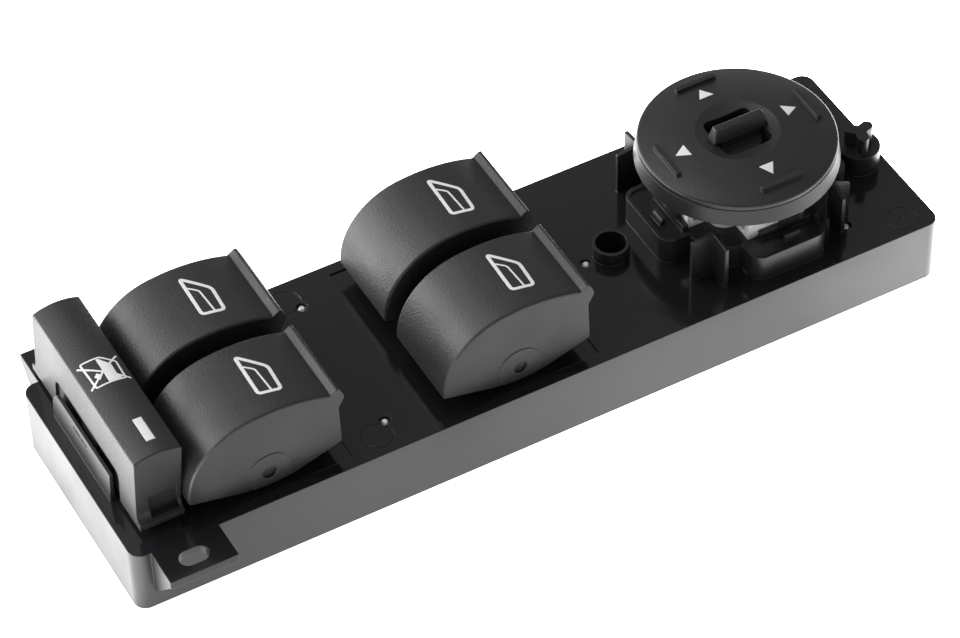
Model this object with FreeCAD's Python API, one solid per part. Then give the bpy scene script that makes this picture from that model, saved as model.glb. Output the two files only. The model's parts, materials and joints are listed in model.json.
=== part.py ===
import FreeCAD, Part
import math
import os

# Power window switch of a driver's door: a long moulded housing that carries two pairs of
# rocking window keys, a push button that locks the rear windows, and a round mirror control.
# Millimetres. Origin at the centre of the underside, +Z up, +X towards the mirror control,
# which is the front of the vehicle, and +Y to the left.

V = FreeCAD.Vector
UP = V(0, 0, 1)

# Places along X: left end, rear keys, front keys, mirror control, right end
END_TO_REAR_KEYS = 34.9
KEY_PITCH = 61.9
MIRROR_PITCH = 70.6
MIRROR_END_GAP = 37.6

# Housing: an open box with a top plate
WIDTH = 57.6
HEIGHT = 17.2
WALL = 1.8
PLATE = 2.0
CORNER_R = 3.0

# Fixing tabs beside the lock button, each with one slot
TAB_FROM_END = 4.1
TAB_WIDTH = 16.2
TAB_REACH = 9.6
TAB_THICK = 2.2
SLOT_LENGTH = 6.9
SLOT_WIDTH = 4.4
SLOT_SHIFT = 0.4
SLOT_FROM_EDGE = 4.4
GUSSET_DEPTH = 11.5
GUSSET_THICK = 1.4
GUSSET_SHORT = 0.4

# Bottom cover, circuit board and the screws that hold them
COVER_RECESS = 0.4
COVER_THICK = 2.0
COVER_GAP = 0.3
COVER_LIP = 2.0
COVER_LIP_THICK = 1.4
BOARD_UNDER = 8.4
BOARD_THICK = 1.6
BOARD_GAP = 0.4
REST_SIZE = 4.0
REST_OVERLAP = 1.8
REST_PITCH = 46.0
SCREW_R = 1.1
SCREW_HEAD_R = 2.4
SCREW_HEAD_HEIGHT = 1.2
SCREW_HEAD_SUNK = 0.1
SCREW_CROSS = (1.3, 0.3, 0.7)
SCREW_TIP_BELOW = 0.15
TIP_HOLE_WIDEN = 0.2
TIP_HOLE_DEPTH = 0.8
MID_SCREW_EDGE_GAP = 8.9
RING_SCREW_GAP = 6.6
MIRROR_SCREW_GAP = 17.9
MIRROR_SCREW_EDGE_GAP = 9.6
BOSS_WALL = 2.0
HOLE_CLEAR = 0.05

# Connector socket under the board
MID_X_FROM_KEYS = 31.5
SOCKET_LENGTH = 30.4
SOCKET_WIDTH = 14.4
SOCKET_R = 1.0
SOCKET_KEYWAY = (4.0, 0.7)
SOCKET_WALL = 1.2
SOCKET_FLOOR = 1.2
SOCKET_GAP = 0.3
PIN_SIZE = 0.7
PIN_COLUMNS = 8
PIN_PITCH = 3.0
PIN_ROW_GAP = 5.0
PIN_INSIDE = 2.4
PIN_ABOVE = 0.6

# Window keys: each rocks on two stub pins inside its side walls
KEY_WIDTH = 22.1
KEY_SPACE = 5.0
KEY_PIVOT = 4.7
KEY_CROWN_R = 39.5
KEY_CROWN_X = 1.7
KEY_CROWN_TOP = 18.2
KEY_SHOULDER_R = 17.35
KEY_SHOULDER_X = -1.8
KEY_FRONT = 17.2
KEY_FRONT_FLARE = 0.5
KEY_FRONT_LOW = 0.3
KEY_REAR_LOW = 0.1
KEY_BELLY = 3.7
KEY_BELLY_EDGE = 3.2
KEY_BELLY_HALF = 6.3
KEY_TOP_WALL = 1.8
KEY_SIDE_WALL = 1.5
KEY_EDGE_R = 0.6
KEY_LIP_RISE = 0.75
KEY_LIP_REACH = 1.5
KEY_LIP_DROP = 5.0
KEY_PAD_R = 5.4
KEY_PAD_RISE = 0.15
KEY_ANGLE = 7.0
KEY_POCKET = 0.4
KEY_POCKET_REAR = 21.4
KEY_POCKET_FRONT = 19.5
KEY_POCKET_SIDE = 1.3
PIVOT_R = 1.6
PIVOT_CLEAR = 0.05
PIVOT_SUNK = 0.4
EAR_WIDTH = 6.4
EAR_THICK = 2.2
EAR_GAP = 0.3
PADDLE_X = 9.0
PADDLE_THICK = 1.6
PADDLE_LOW = 2.4

# Plungers that pass the keys' motion to rubber contact wells on the board
PLUNGER_R = 2.2
PLUNGER_CLEAR = 0.08
PLUNGER_LIFT = 1.5
PLUNGER_FLANGE_R = 3.2
PLUNGER_FLANGE_Z = 3.0
PLUNGER_FLANGE = 0.9
PLUNGER_CROWN_R = 4.0
PLUNGER_GAP = 0.15
GUIDE_WALL = 1.2
GUIDE_RISE = 0.7
CONTACT_SHEET = 0.8
CONTACT_RISE = 1.0
CONTACT_BASE_R = 3.6
CONTACT_TOP_R = 3.0
CONTACT_FLOOR = 0.2
CONTACT_EDGE = 0.3
CONTACT_CLEAR = 0.25

# Lock button: a tall narrow cap that is pushed straight down
LOCK_FROM_END = 4.4
LOCK_WIDTH = 12.2
LOCK_LEFT_TAPER = 0.9
LOCK_NEAR = -21.6
LOCK_FAR = 29.9
LOCK_LIFT = 1.5
LOCK_SIDE_TOP = 20.0
LOCK_CROWN = 1.2
LOCK_WALL = 1.5
LOCK_KEY_WALL = 1.0
LOCK_STEM_PLACE = 5.55
LOCK_KEY_GAP = 0.35
LOCK_TOP_WALL = 2.0
LOCK_EDGE_R = 0.5
LOCK_SKIRT = 1.9
LOCK_SKIRT_THICK = 1.5
LOCK_TRAVEL = 1.2
LOCK_NOTCH = (-13.4, 19.2)
LOCK_NOTCH_TOP = 9.8
LOCK_NOTCH_DEPTH = 0.7
LOCK_NOTCH_R = 2.5
LOCK_WINDOW = (3.4, 10.0)
LOCK_WINDOW_LOW = 3.0
LOCK_WINDOW_TOP = 8.8
LOCK_WINDOW_DEPTH = 1.0
LOCK_LEG = 5.4
LOCK_LEG_WALL = 1.2
LOCK_LEG_YS = (-4.0, 22.0)
LOCK_LEG_CLEAR = 0.1
LOCK_COLLAR_WALL = 0.8
LOCK_COLLAR_RISE = 1.0
LOCK_BARB = 0.7
LOCK_BARB_HEIGHT = 1.4
LIGHT_FROM_RIGHT = 5.15
LIGHT_Y = -13.95
LIGHT_WIDTH = 2.1
LIGHT_LENGTH = 7.1
LIGHT_LOW = 3.0
SPRING_Y = 9.0
SPRING_R = 2.6
SPRING_WIRE_R = 0.35
SPRING_TURNS = 5.0
SPRING_HEIGHT = 9.0
SPRING_PIN_R = 1.9
SPRING_PIN_RISE = 3.0
SWITCH_SIZE = 7.0
SWITCH_HEIGHT = 1.9
SWITCH_GAP = 0.2
SWITCH_FLOOR = 0.2
ACTUATOR_R = 1.5
ACTUATOR_CLEAR = 0.08

# Guide wall that stands beside the lock button on the left edge
GUARD_FROM_END = 2.9
GUARD_LEAN = 0.5
GUARD_THICK = 1.1
GUARD_NEAR = -11.2
GUARD_FAR = 18.0
GUARD_RISE = 8.0
GUARD_FAR_R = 4.0
GUARD_SLOTS = ((6.8, 1.0), (4.9, 2.6), (2.5, 1.4), (0.9, 1.0))
GUARD_SLOT_HEIGHT = 0.7
GUARD_SLOT_RISE = 5.7

# Ring boss and locating post that meet the trim above
RING_FROM_KEYS = 37.5
RING_R = 4.35
RING_BORE_R = 3.55
RING_RISE = 3.4
POST_FROM_END = 6.0
POST_Y = -3.1
POST_R = 4.9
POST_RISE = 5.6
LOBE_PIN_RISE = 4.6
LOBE_PIN_R = 3.7
LOBE_TIP_R = 1.35
LOBE_ANGLES = (136.0, 16.0, -104.0)
MARK_R = 3.7
MARK_LINE = 0.3
MARK_DEPTH = 0.15
MARK_DIMPLE_R = 0.6
POST_MARK = (-1.4, -23.9)
MID_MARKS = ((-3.6, -23.1), (-2.6, 23.0))

# Mirror control: tower on the housing, white carrier, gimbal ring, tilting pad and knob
TOWER_HALF = 18.6
TOWER_R = 12.0
LOBE_HALF = 9.8
LOBE_REACH = 24.8
LOBE_R = 3.2
LOBE_RISE = 6.3
LOBE_RIM = 1.0
LOBE_RIM_RISE = 0.6
TOWER_SKIN = 1.6
TOWER_HOLE_HALF = 9.0
TOWER_HOLE_R = 3.0
TOWER_HOLE_CLEAR = 0.4
FACE_GAP = 0.15
STOP_WALL = 1.4
STOP_LENGTH = 13.0
STOP_SHIFT = 1.6
STOP_RISE = 1.8
CLIP_WIDTH = 4.6
CLIP_SHIFT = 2.9
CLIP_HOOK = 0.9
CLIP_HOOK_HEIGHT = 1.0
WEDGE_LENGTH = 3.8
WEDGE_DEPTH = 1.5
WEDGE_RISE = 1.5
WEDGE_FROM_EDGE = 2.4
RIB_X = 15.6
RIB_Y = 16.1
RIB_THICK = 0.9
RIB_RISE = 12.4
REAR_RIB_LEGS = (6.3, 6.3, 0.8)
FRONT_RIB_LEGS = (4.4, 4.6, 2.0)
CARRIER_HALF = 17.4
CARRIER_MIDDLE = 12.0
CARRIER_R = 4.0
CARRIER_FLOOR = 1.6
CARRIER_ARM_HALF = 7.4
CARRIER_ARM_THICK = 1.6
CARRIER_ARM_RISE = 5.0
CARRIER_HOLE_R = 4.6
GIMBAL_Z = 14.8
GIMBAL_OUT_R = 7.4
GIMBAL_IN_R = 5.4
GIMBAL_HEIGHT = 2.2
GIMBAL_PIN_R = 1.0
GIMBAL_PIN_CLEAR = 0.05
BEARING_NEAR = 7.9
BEARING_FAR = 9.9
BEARING_HALF = 2.6
PAD_R = 22.95
PAD_RIM_Z = 20.8
PAD_SKIRT = 5.2
PAD_SKIRT_FLARE = 0.65
PAD_GROOVE = (1.3, 0.25)
PAD_WALL = 1.6
PAD_SKIN_Z = 19.6
PAD_EDGE_R = 0.8
PAD_CROWN_Z = 22.85
PAD_MID_R = 14.0
PAD_MID_Z = 22.45
DISH_R = 9.75
DISH_DEPTH = 1.2
DISH_MID_R = 6.0
DISH_MID_DEPTH = 0.75
WELL_HALF = 6.1
WELL_R = 1.8
WELL_FLOOR_Z = 18.6
WELL_WALL = 1.3
WELL_FLOOR = 1.6
PAD_BAR_R = 18.6
PAD_BAR_LENGTH = 10.4
PAD_BAR_WIDTH = 1.2
PAD_BAR_TOP_Z = 22.65
PUSHER_AT = 13.0
PUSHER_R = 2.4
PUSHER_LOW_Z = 15.4
MIRROR_PLUNGER_R = 1.9
MIRROR_GUIDE_RISE = 4.0
KNOB_STEM_R = 2.8
KNOB_CLEAR = 0.05
KNOB_DISC_R = 5.5
KNOB_DISC_GAP = 0.1
KNOB_DISC = 1.6
KNOB_SNAP_R = 3.3
KNOB_SNAP = 0.8
KNOB_STEM_LOW_Z = 13.0
BAR_TOP_Z = 26.0
BAR_TOP_HALF = 6.3
BAR_LOW_HALF = 7.2
BAR_LOW_Z = 22.55
BAR_TOP_THICK = 1.8
BAR_LOW_THICK = 3.2
BAR_NECK_HALF = 5.3
BAR_EDGE_R = 0.35

# Lamps and the chip on the board
LAMP_SIZE = (1.6, 0.8, 0.6)
LAMP_SIDE = 4.8
LAMP_HOLE_R = 1.4
CHIP_X = 8.0
CHIP_SIZE = 9.0
CHIP_HEIGHT = 1.2

# Overlap by which pieces of one moulding run into each other before they are joined
JOIN = 0.2

# Levels and places that follow from the sizes above
LENGTH = END_TO_REAR_KEYS + KEY_PITCH + MIRROR_PITCH + MIRROR_END_GAP
LEFT_END = -LENGTH / 2
REAR_KEY_X = LEFT_END + END_TO_REAR_KEYS
FRONT_KEY_X = REAR_KEY_X + KEY_PITCH
MIRROR_X = FRONT_KEY_X + MIRROR_PITCH
MID_X = FRONT_KEY_X - MID_X_FROM_KEYS
RING_X = FRONT_KEY_X + RING_FROM_KEYS
POST_X = LENGTH / 2 - POST_FROM_END
TAB_X = LEFT_END + TAB_FROM_END + TAB_WIDTH / 2
SLOT_X = TAB_X - SLOT_SHIFT
GUARD_OUT = LEFT_END + GUARD_FROM_END
MID_SCREWS_Y = WIDTH / 2 - MID_SCREW_EDGE_GAP
MIRROR_SCREWS_Y = WIDTH / 2 - MIRROR_SCREW_EDGE_GAP
SCREW_PLACES = ((MID_X, -MID_SCREWS_Y), (MID_X, MID_SCREWS_Y), (RING_X - RING_SCREW_GAP, 0.0),
                (MIRROR_X + MIRROR_SCREW_GAP, -MIRROR_SCREWS_Y),
                (MIRROR_X + MIRROR_SCREW_GAP, MIRROR_SCREWS_Y))
PLATE_UNDER = HEIGHT - PLATE
COVER_TOP = COVER_RECESS + COVER_THICK
SCREW_LOW = COVER_RECESS + SCREW_HEAD_SUNK
BOARD_TOP = BOARD_UNDER + BOARD_THICK
PLUNGER_LOW = BOARD_TOP + PLUNGER_LIFT
PLUNGER_STOP = BOARD_TOP + PLUNGER_FLANGE_Z
INNER_X = LENGTH / 2 - WALL
INNER_Y = WIDTH / 2 - WALL
KEY_Y = (KEY_WIDTH + KEY_SPACE) / 2
KEY_ZS = HEIGHT + KEY_PIVOT
KEY_INNER_HALF = KEY_WIDTH / 2 - KEY_SIDE_WALL
EAR_OUT = KEY_INNER_HALF - EAR_GAP
LOCK_LEFT = LEFT_END + LOCK_FROM_END
LOCK_RIGHT = LOCK_LEFT + LOCK_WIDTH
LOCK_X = LOCK_LEFT + LOCK_STEM_PLACE
LIGHT_X = LOCK_RIGHT - LIGHT_FROM_RIGHT
LOCK_LOW = HEIGHT + LOCK_LIFT
LOCK_SIDE_Z = HEIGHT + LOCK_SIDE_TOP
LOBE_TOP = HEIGHT + LOBE_RISE
GIMBAL_LEVEL = HEIGHT + GIMBAL_Z
PAD_UNDER = HEIGHT + PAD_SKIN_Z
PAD_FLOOR = HEIGHT + WELL_FLOOR_Z


def box(x0, x1, y0, y1, z0, z1):
    """A block between two corners."""
    return Part.makeBox(x1 - x0, y1 - y0, z1 - z0, V(x0, y0, z0))


def rod(r, x, y, z0, z1):
    """An upright cylinder."""
    return Part.makeCylinder(r, z1 - z0, V(x, y, z0), UP)


def cone(r0, r1, x, y, z0, z1):
    """An upright cone frustum."""
    return Part.makeCone(r0, r1, z1 - z0, V(x, y, z0), UP)


def slab(x0, x1, y0, y1, z0, z1, r):
    """A block whose upright corners are rounded to radius r."""
    c = r * (1 - math.sqrt(0.5))
    edges = []
    corners = ((x0, y0, 1, 1), (x1, y0, -1, 1), (x1, y1, -1, -1), (x0, y1, 1, -1))
    ends = []
    for i, (x, y, sx, sy) in enumerate(corners):
        along_x = V(x + sx * r, y, z0)
        along_y = V(x, y + sy * r, z0)
        first, last = (along_y, along_x) if i % 2 == 0 else (along_x, along_y)
        edges.append(Part.Arc(first, V(x + sx * c, y + sy * c, z0), last).toShape())
        ends.append((first, last))
    for i in range(4):
        edges.append(Part.LineSegment(ends[i][1], ends[(i + 1) % 4][0]).toShape())
    wire = Part.Wire(Part.__sortEdges__(edges))
    return Part.Face(wire).extrude(V(0, 0, z1 - z0))


def outline_solid(items, place, run):
    """A solid swept along run from a closed outline of points; three points in one item are an arc."""
    edges = []
    for item in items:
        points = [place(*p) for p in item]
        if len(points) == 3:
            edges.append(Part.Arc(*points).toShape())
        else:
            edges.append(Part.LineSegment(*points).toShape())
    return Part.Face(Part.Wire(edges)).extrude(run)


def polygon_solid(points, place, run):
    """A solid swept along run from a closed polygon."""
    corners = [place(*p) for p in points]
    return Part.Face(Part.makePolygon(corners + corners[:1])).extrude(run)


def joined(first, *others):
    """One solid from pieces that touch or overlap."""
    return first.fuse(list(others)).removeSplitter()


def round_edges(shape, radius, keep):
    """The shape with every edge rounded for which keep(edge) is true."""
    return shape.makeFillet(radius, [e for e in shape.Edges if keep(e)])


# The obround slot of a fixing tab, and the four plates that the keys stand in
def slot_cut(x, y, z0, z1):
    half = (SLOT_LENGTH - SLOT_WIDTH) / 2
    ends = [rod(SLOT_WIDTH / 2, x + s * half, y, z0, z1) for s in (-1, 1)]
    return joined(box(x - half, x + half, y - SLOT_WIDTH / 2, y + SLOT_WIDTH / 2, z0, z1), *ends)


def slot_y():
    return WIDTH / 2 + TAB_REACH - SLOT_FROM_EDGE


def tab(side):
    """A fixing tab at plate level on the near (-1) or far (+1) wall, with its gusset."""
    y_wall = side * (WIDTH / 2 - WALL / 2)
    y_end = side * (WIDTH / 2 + TAB_REACH)
    x0 = TAB_X - TAB_WIDTH / 2
    under = HEIGHT - TAB_THICK
    plate = box(x0, x0 + TAB_WIDTH, min(y_wall, y_end), max(y_wall, y_end), under, HEIGHT)
    gusset_end = y_end - side * GUSSET_SHORT
    gusset = polygon_solid(((y_wall, under), (gusset_end, under), (y_wall, under - GUSSET_DEPTH)),
                           lambda y, z: V(x0, y, z), V(GUSSET_THICK, 0, 0))
    return joined(plate, gusset).cut(slot_cut(SLOT_X, side * slot_y(), under - 1, HEIGHT + 1))


def key_places():
    """Each window key's name, pivot x and middle y."""
    rows = (("front", FRONT_KEY_X), ("rear", REAR_KEY_X))
    sides = (("left", KEY_Y), ("right", -KEY_Y))
    return [(row + "_" + side, x, y) for row, x in rows for side, y in sides]


def plunger_places(x):
    """The two plungers of a key: the front one goes down when the window is lowered."""
    return (("down", x + PADDLE_X), ("up", x - PADDLE_X))


def ear(x, y, side):
    """One upright ear with the stub pin on which a key rocks; side is -1 or +1 from the key's middle."""
    y_out = y + side * EAR_OUT
    y_in = y_out - side * EAR_THICK
    low, high = min(y_in, y_out), max(y_in, y_out)
    half = EAR_WIDTH / 2
    foot = box(x - half, x + half, low, high, PLATE_UNDER, KEY_ZS)
    head = Part.makeCylinder(half, high - low, V(x, low, KEY_ZS), V(0, 1, 0))
    pin_end = y + side * (KEY_WIDTH / 2 - PIVOT_SUNK)
    y0, y1 = min(y_in, pin_end), max(y_in, pin_end)
    pin = Part.makeCylinder(PIVOT_R, y1 - y0, V(x, y0, KEY_ZS), V(0, 1, 0))
    return joined(foot, head, pin)


def rest_xs():
    """Places along the walls where the board is held between the housing and the cover."""
    count = int(LENGTH / 2 // REST_PITCH)
    return [i * REST_PITCH for i in range(-count, count + 1)]


def turned(x, y, quarter):
    """A point about the mirror control's axis, turned by quarter turns."""
    c, s = ((1, 0), (0, 1), (-1, 0), (0, -1))[quarter]
    return c * x - s * y, s * x + c * y


def quarter_box(x0, x1, y0, y1, z0, z1, quarter):
    """A block given about the mirror control's axis, turned by quarter turns."""
    block = box(x0, x1, y0, y1, z0, z1)
    block.rotate(V(0, 0, 0), UP, 90 * quarter)
    block.translate(V(MIRROR_X, 0, 0))
    return block


def pusher_places():
    """The pad's four pushing places, named by the way the mirror turns."""
    names = ("front", "left", "rear", "right")
    return [(names[q], MIRROR_X + turned(PUSHER_AT, 0, q)[0], turned(PUSHER_AT, 0, q)[1])
            for q in range(4)]


def lobe(q, grow, z0, z1):
    """One lobe of the mirror tower at quarter turn q, made larger or smaller all round by grow."""
    piece = slab(-LOBE_HALF - grow, LOBE_HALF + grow, -LOBE_REACH - grow, 0, z0, z1, LOBE_R + grow)
    piece.rotate(V(0, 0, 0), UP, 90 * q)
    piece.translate(V(MIRROR_X, 0, 0))
    return piece


def tower_outline(inset, z0, z1):
    """The mirror tower's outline: a rounded square with four lobes."""
    half = TOWER_HALF - inset
    middle = slab(MIRROR_X - half, MIRROR_X + half, -half, half, z0, z1, TOWER_R - inset)
    return joined(middle, *[lobe(q, -inset, z0, z1) for q in range(4)])


def corner_rib(sx, sy):
    """An angle rib outside one corner of the mirror tower; its two legs slope down to their ends."""
    top = HEIGHT + RIB_RISE
    leg_x, leg_y, drop = FRONT_RIB_LEGS if sx > 0 else REAR_RIB_LEGS

    def leg(start, length):
        end = start + length
        return ((start, PLATE_UNDER), (end, PLATE_UNDER), (end, top - drop), (start, top))

    along_x = polygon_solid(leg(RIB_X, leg_x), lambda x, z: V(MIRROR_X + sx * x, sy * RIB_Y, z),
                            V(0, sy * RIB_THICK, 0))
    along_y = polygon_solid(leg(RIB_Y, leg_y), lambda y, z: V(MIRROR_X + sx * RIB_X, sy * y, z),
                            V(sx * RIB_THICK, 0, 0))
    return joined(along_x, along_y)


def mirror_tower():
    """The tower: hollow lobes with rims, stop walls, snap clips and corner ribs."""
    body = tower_outline(0, PLATE_UNDER, LOBE_TOP)
    for q in range(4):
        rim = lobe(q, 0, LOBE_TOP, LOBE_TOP + LOBE_RIM_RISE)
        body = body.fuse(rim.cut(lobe(q, -LOBE_RIM, LOBE_TOP - 1, LOBE_TOP + 1 + LOBE_RIM_RISE)))
    square = slab(MIRROR_X - TOWER_HALF, MIRROR_X + TOWER_HALF, -TOWER_HALF, TOWER_HALF,
                  LOBE_TOP, LOBE_TOP + STOP_RISE, TOWER_R)
    body = body.cut(square)
    carrier_top = LOBE_TOP + CARRIER_FLOOR + CARRIER_ARM_RISE
    for q in range(4):
        y0 = -CARRIER_HALF - STOP_WALL - FACE_GAP
        y1 = -CARRIER_HALF - FACE_GAP
        stop = quarter_box(STOP_SHIFT - STOP_LENGTH / 2, STOP_SHIFT + STOP_LENGTH / 2, y0, y1,
                           LOBE_TOP - TOWER_SKIN, LOBE_TOP + STOP_RISE, q)
        x0, x1 = CLIP_SHIFT - CLIP_WIDTH / 2, CLIP_SHIFT + CLIP_WIDTH / 2
        clip_top = carrier_top + FACE_GAP + CLIP_HOOK_HEIGHT
        clip = quarter_box(x0, x1, y0, y1, LOBE_TOP, clip_top, q)
        hook = quarter_box(x0, x1, y1, y1 + CLIP_HOOK, carrier_top + FACE_GAP, clip_top, q)
        wedge_y = -LOBE_REACH + WEDGE_FROM_EDGE
        wedge = polygon_solid(((wedge_y, LOBE_TOP), (wedge_y + WEDGE_DEPTH, LOBE_TOP),
                               (wedge_y + WEDGE_DEPTH, LOBE_TOP + WEDGE_RISE),
                               (wedge_y + WEDGE_DEPTH / 2, LOBE_TOP + WEDGE_RISE)),
                              lambda y, z: V(STOP_SHIFT - WEDGE_LENGTH / 2, y, z), V(WEDGE_LENGTH, 0, 0))
        wedge.rotate(V(0, 0, 0), UP, 90 * q)
        wedge.translate(V(MIRROR_X, 0, 0))
        body = body.fuse([stop, clip, hook, wedge])
    ribs = [corner_rib(sx, sy) for sx in (-1, 1) for sy in (-1, 1)]
    return joined(body, *ribs)


def mirror_hollow():
    """The space inside the tower, with the openings in its top for the plungers and the middle."""
    inside = tower_outline(WALL, PLATE_UNDER - 1, LOBE_TOP - TOWER_SKIN)
    half = TOWER_HOLE_HALF
    low, high = LOBE_TOP - TOWER_SKIN - 1, LOBE_TOP + 1
    mouth = slab(MIRROR_X - half, MIRROR_X + half, -half, half, low, high, TOWER_HOLE_R)
    holes = [rod(MIRROR_PLUNGER_R + TOWER_HOLE_CLEAR, x, y, low, high) for name, x, y in pusher_places()]
    return inside.fuse([mouth] + holes)


def guard():
    """The thin leaning wall beside the lock button, with a row of short slots near its top."""
    top = HEIGHT + GUARD_RISE
    low, out = PLATE_UNDER, GUARD_OUT
    side = ((out, low), (out + GUARD_THICK, low), (out + GUARD_THICK + GUARD_LEAN / 2, top),
            (out + GUARD_LEAN, top))
    wall = polygon_solid(side, lambda x, z: V(x, GUARD_NEAR, z), V(0, GUARD_FAR - GUARD_NEAR, 0))
    wall = round_edges(wall, GUARD_FAR_R, lambda e: e.BoundBox.YMin > GUARD_FAR - 0.1
                       and e.BoundBox.ZMin > top - 0.1)
    z = HEIGHT + GUARD_SLOT_RISE
    for y, length in GUARD_SLOTS:
        wall = wall.cut(box(out - 1, out + 3, y - length / 2, y + length / 2, z, z + GUARD_SLOT_HEIGHT))
    return wall


def lobe_pin(z0, z1):
    """The three-lobed pin on the locating post."""
    middle = rod(LOBE_TIP_R, POST_X, POST_Y, z0, z1)
    arms = []
    reach = LOBE_PIN_R - LOBE_TIP_R
    for angle in LOBE_ANGLES:
        arm = box(POST_X, POST_X + reach, POST_Y - LOBE_TIP_R, POST_Y + LOBE_TIP_R, z0, z1)
        arm = arm.fuse(rod(LOBE_TIP_R, POST_X + reach, POST_Y, z0, z1))
        arm.rotate(V(POST_X, POST_Y, 0), UP, angle)
        arms.append(arm)
    return joined(middle, *arms)


def leg_opening(y, grow, z0, z1):
    """The square passage of one leg of the lock button, made larger all round by grow."""
    half = LOCK_LEG / 2 + grow
    return box(LOCK_X - half, LOCK_X + half, y - half, y + half, z0, z1)


def housing():
    """The upper moulding with everything that is moulded on its plate."""
    shell = slab(-LENGTH / 2, LENGTH / 2, -WIDTH / 2, WIDTH / 2, 0, HEIGHT, CORNER_R)
    shell = shell.fuse([tab(-1), tab(1)])
    shell = shell.cut(slab(-INNER_X, INNER_X, -INNER_Y, INNER_Y, -1, PLATE_UNDER, CORNER_R - WALL))
    cuts = []
    adds = [guard(), mirror_tower()]
    for row_x in (FRONT_KEY_X, REAR_KEY_X):
        half = KEY_Y + KEY_WIDTH / 2 + KEY_POCKET_SIDE
        cuts.append(box(row_x - KEY_POCKET_REAR, row_x + KEY_POCKET_FRONT, -half, half,
                        HEIGHT - KEY_POCKET, HEIGHT + 1))
    shell = shell.cut(cuts)
    cuts = [mirror_hollow()]
    for name, x, y in key_places():
        adds += [ear(x, y, side) for side in (-1, 1)]
        for way, px in plunger_places(x):
            adds.append(rod(PLUNGER_R + PLUNGER_CLEAR + GUIDE_WALL, px, y, PLATE_UNDER, HEIGHT + GUIDE_RISE))
            cuts.append(rod(PLUNGER_R + PLUNGER_CLEAR, px, y, PLATE_UNDER - 1, HEIGHT + GUIDE_RISE + 1))
        cuts.append(rod(LAMP_HOLE_R, x, y + LAMP_SIDE, PLATE_UNDER - 1, HEIGHT + 1))
    for x, y in SCREW_PLACES:
        adds.append(rod(SCREW_R + HOLE_CLEAR + BOSS_WALL, x, y, COVER_TOP, PLATE_UNDER))
        cuts.append(rod(SCREW_R + HOLE_CLEAR, x, y, COVER_TOP - 1, HEIGHT + 1))
        cuts.append(rod(SCREW_R + HOLE_CLEAR + TIP_HOLE_WIDEN, x, y, HEIGHT - TIP_HOLE_DEPTH, HEIGHT + 1))
    for x in rest_xs():
        for side in (-1, 1):
            y0, y1 = sorted((side * (INNER_Y - REST_OVERLAP), side * (INNER_Y + WALL / 2)))
            adds.append(box(x - REST_SIZE / 2, x + REST_SIZE / 2, y0, y1, BOARD_TOP, PLATE_UNDER))
    for y in LOCK_LEG_YS:
        adds.append(leg_opening(y, LOCK_LEG_CLEAR + LOCK_COLLAR_WALL, HEIGHT - 1,
                                HEIGHT + LOCK_COLLAR_RISE))
        cuts.append(leg_opening(y, LOCK_LEG_CLEAR, PLATE_UNDER - 1, HEIGHT + LOCK_COLLAR_RISE + 1))
    adds.append(rod(SPRING_PIN_R, LOCK_X, SPRING_Y, HEIGHT - 1, HEIGHT + SPRING_PIN_RISE))
    cuts.append(rod(LAMP_HOLE_R, LIGHT_X, LIGHT_Y, PLATE_UNDER - 1, HEIGHT + 1))
    adds.append(rod(RING_R, RING_X, 0, PLATE_UNDER, HEIGHT + RING_RISE))
    cuts.append(rod(RING_BORE_R, RING_X, 0, PLATE_UNDER - 1, HEIGHT + RING_RISE + 1))
    adds.append(rod(POST_R, POST_X, POST_Y, HEIGHT - 1, HEIGHT + POST_RISE))
    adds.append(lobe_pin(HEIGHT, HEIGHT + POST_RISE + LOBE_PIN_RISE))
    marks = [(POST_X + POST_MARK[0], POST_MARK[1])] + [(MID_X + x, y) for x, y in MID_MARKS]
    for x, y in marks:
        low = HEIGHT - MARK_DEPTH
        middle = rod(MARK_R - MARK_LINE, x, y, low - 1, HEIGHT + 2)
        cuts.append(rod(MARK_R, x, y, low, HEIGHT + 1).cut(middle))
    cuts.append(rod(MARK_DIMPLE_R, marks[0][0], marks[0][1], HEIGHT - MARK_DEPTH, HEIGHT + 1))
    return shell.fuse(adds).cut(cuts).removeSplitter()


def bottom_cover():
    """The cover that closes the housing from below and carries the board on rests."""
    x, y = INNER_X - COVER_GAP, INNER_Y - COVER_GAP
    r = CORNER_R - WALL
    plate = slab(-x, x, -y, y, COVER_RECESS, COVER_TOP, r)
    lip = slab(-x, x, -y, y, COVER_TOP, COVER_TOP + COVER_LIP, r)
    lip = lip.cut(box(COVER_LIP_THICK - x, x - COVER_LIP_THICK, COVER_LIP_THICK - y,
                      y - COVER_LIP_THICK, COVER_RECESS, COVER_TOP + COVER_LIP + 1))
    rests = []
    for rest_x in rest_xs():
        for side in (-1, 1):
            y0, y1 = sorted((side * (INNER_Y - REST_OVERLAP - BOARD_GAP), side * y))
            rests.append(box(rest_x - REST_SIZE / 2, rest_x + REST_SIZE / 2, y0, y1, COVER_TOP, BOARD_UNDER))
    cover = joined(plate, lip, *rests)
    half_x = SOCKET_LENGTH / 2 + SOCKET_GAP
    half_y = SOCKET_WIDTH / 2 + SOCKET_GAP
    cuts = [box(MID_X - half_x, MID_X + half_x, -half_y, half_y, 0, COVER_TOP + 1)]
    for sx, sy in SCREW_PLACES:
        cuts.append(rod(SCREW_R + HOLE_CLEAR, sx, sy, 0, COVER_TOP + 1))
        head = SCREW_HEAD_R + HOLE_CLEAR
        cuts.append(cone(head, SCREW_R + HOLE_CLEAR, sx, sy, SCREW_LOW, SCREW_LOW + SCREW_HEAD_HEIGHT + 0.1))
        cuts.append(rod(head, sx, sy, 0, SCREW_LOW))
    return cover.cut(cuts)


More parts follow.
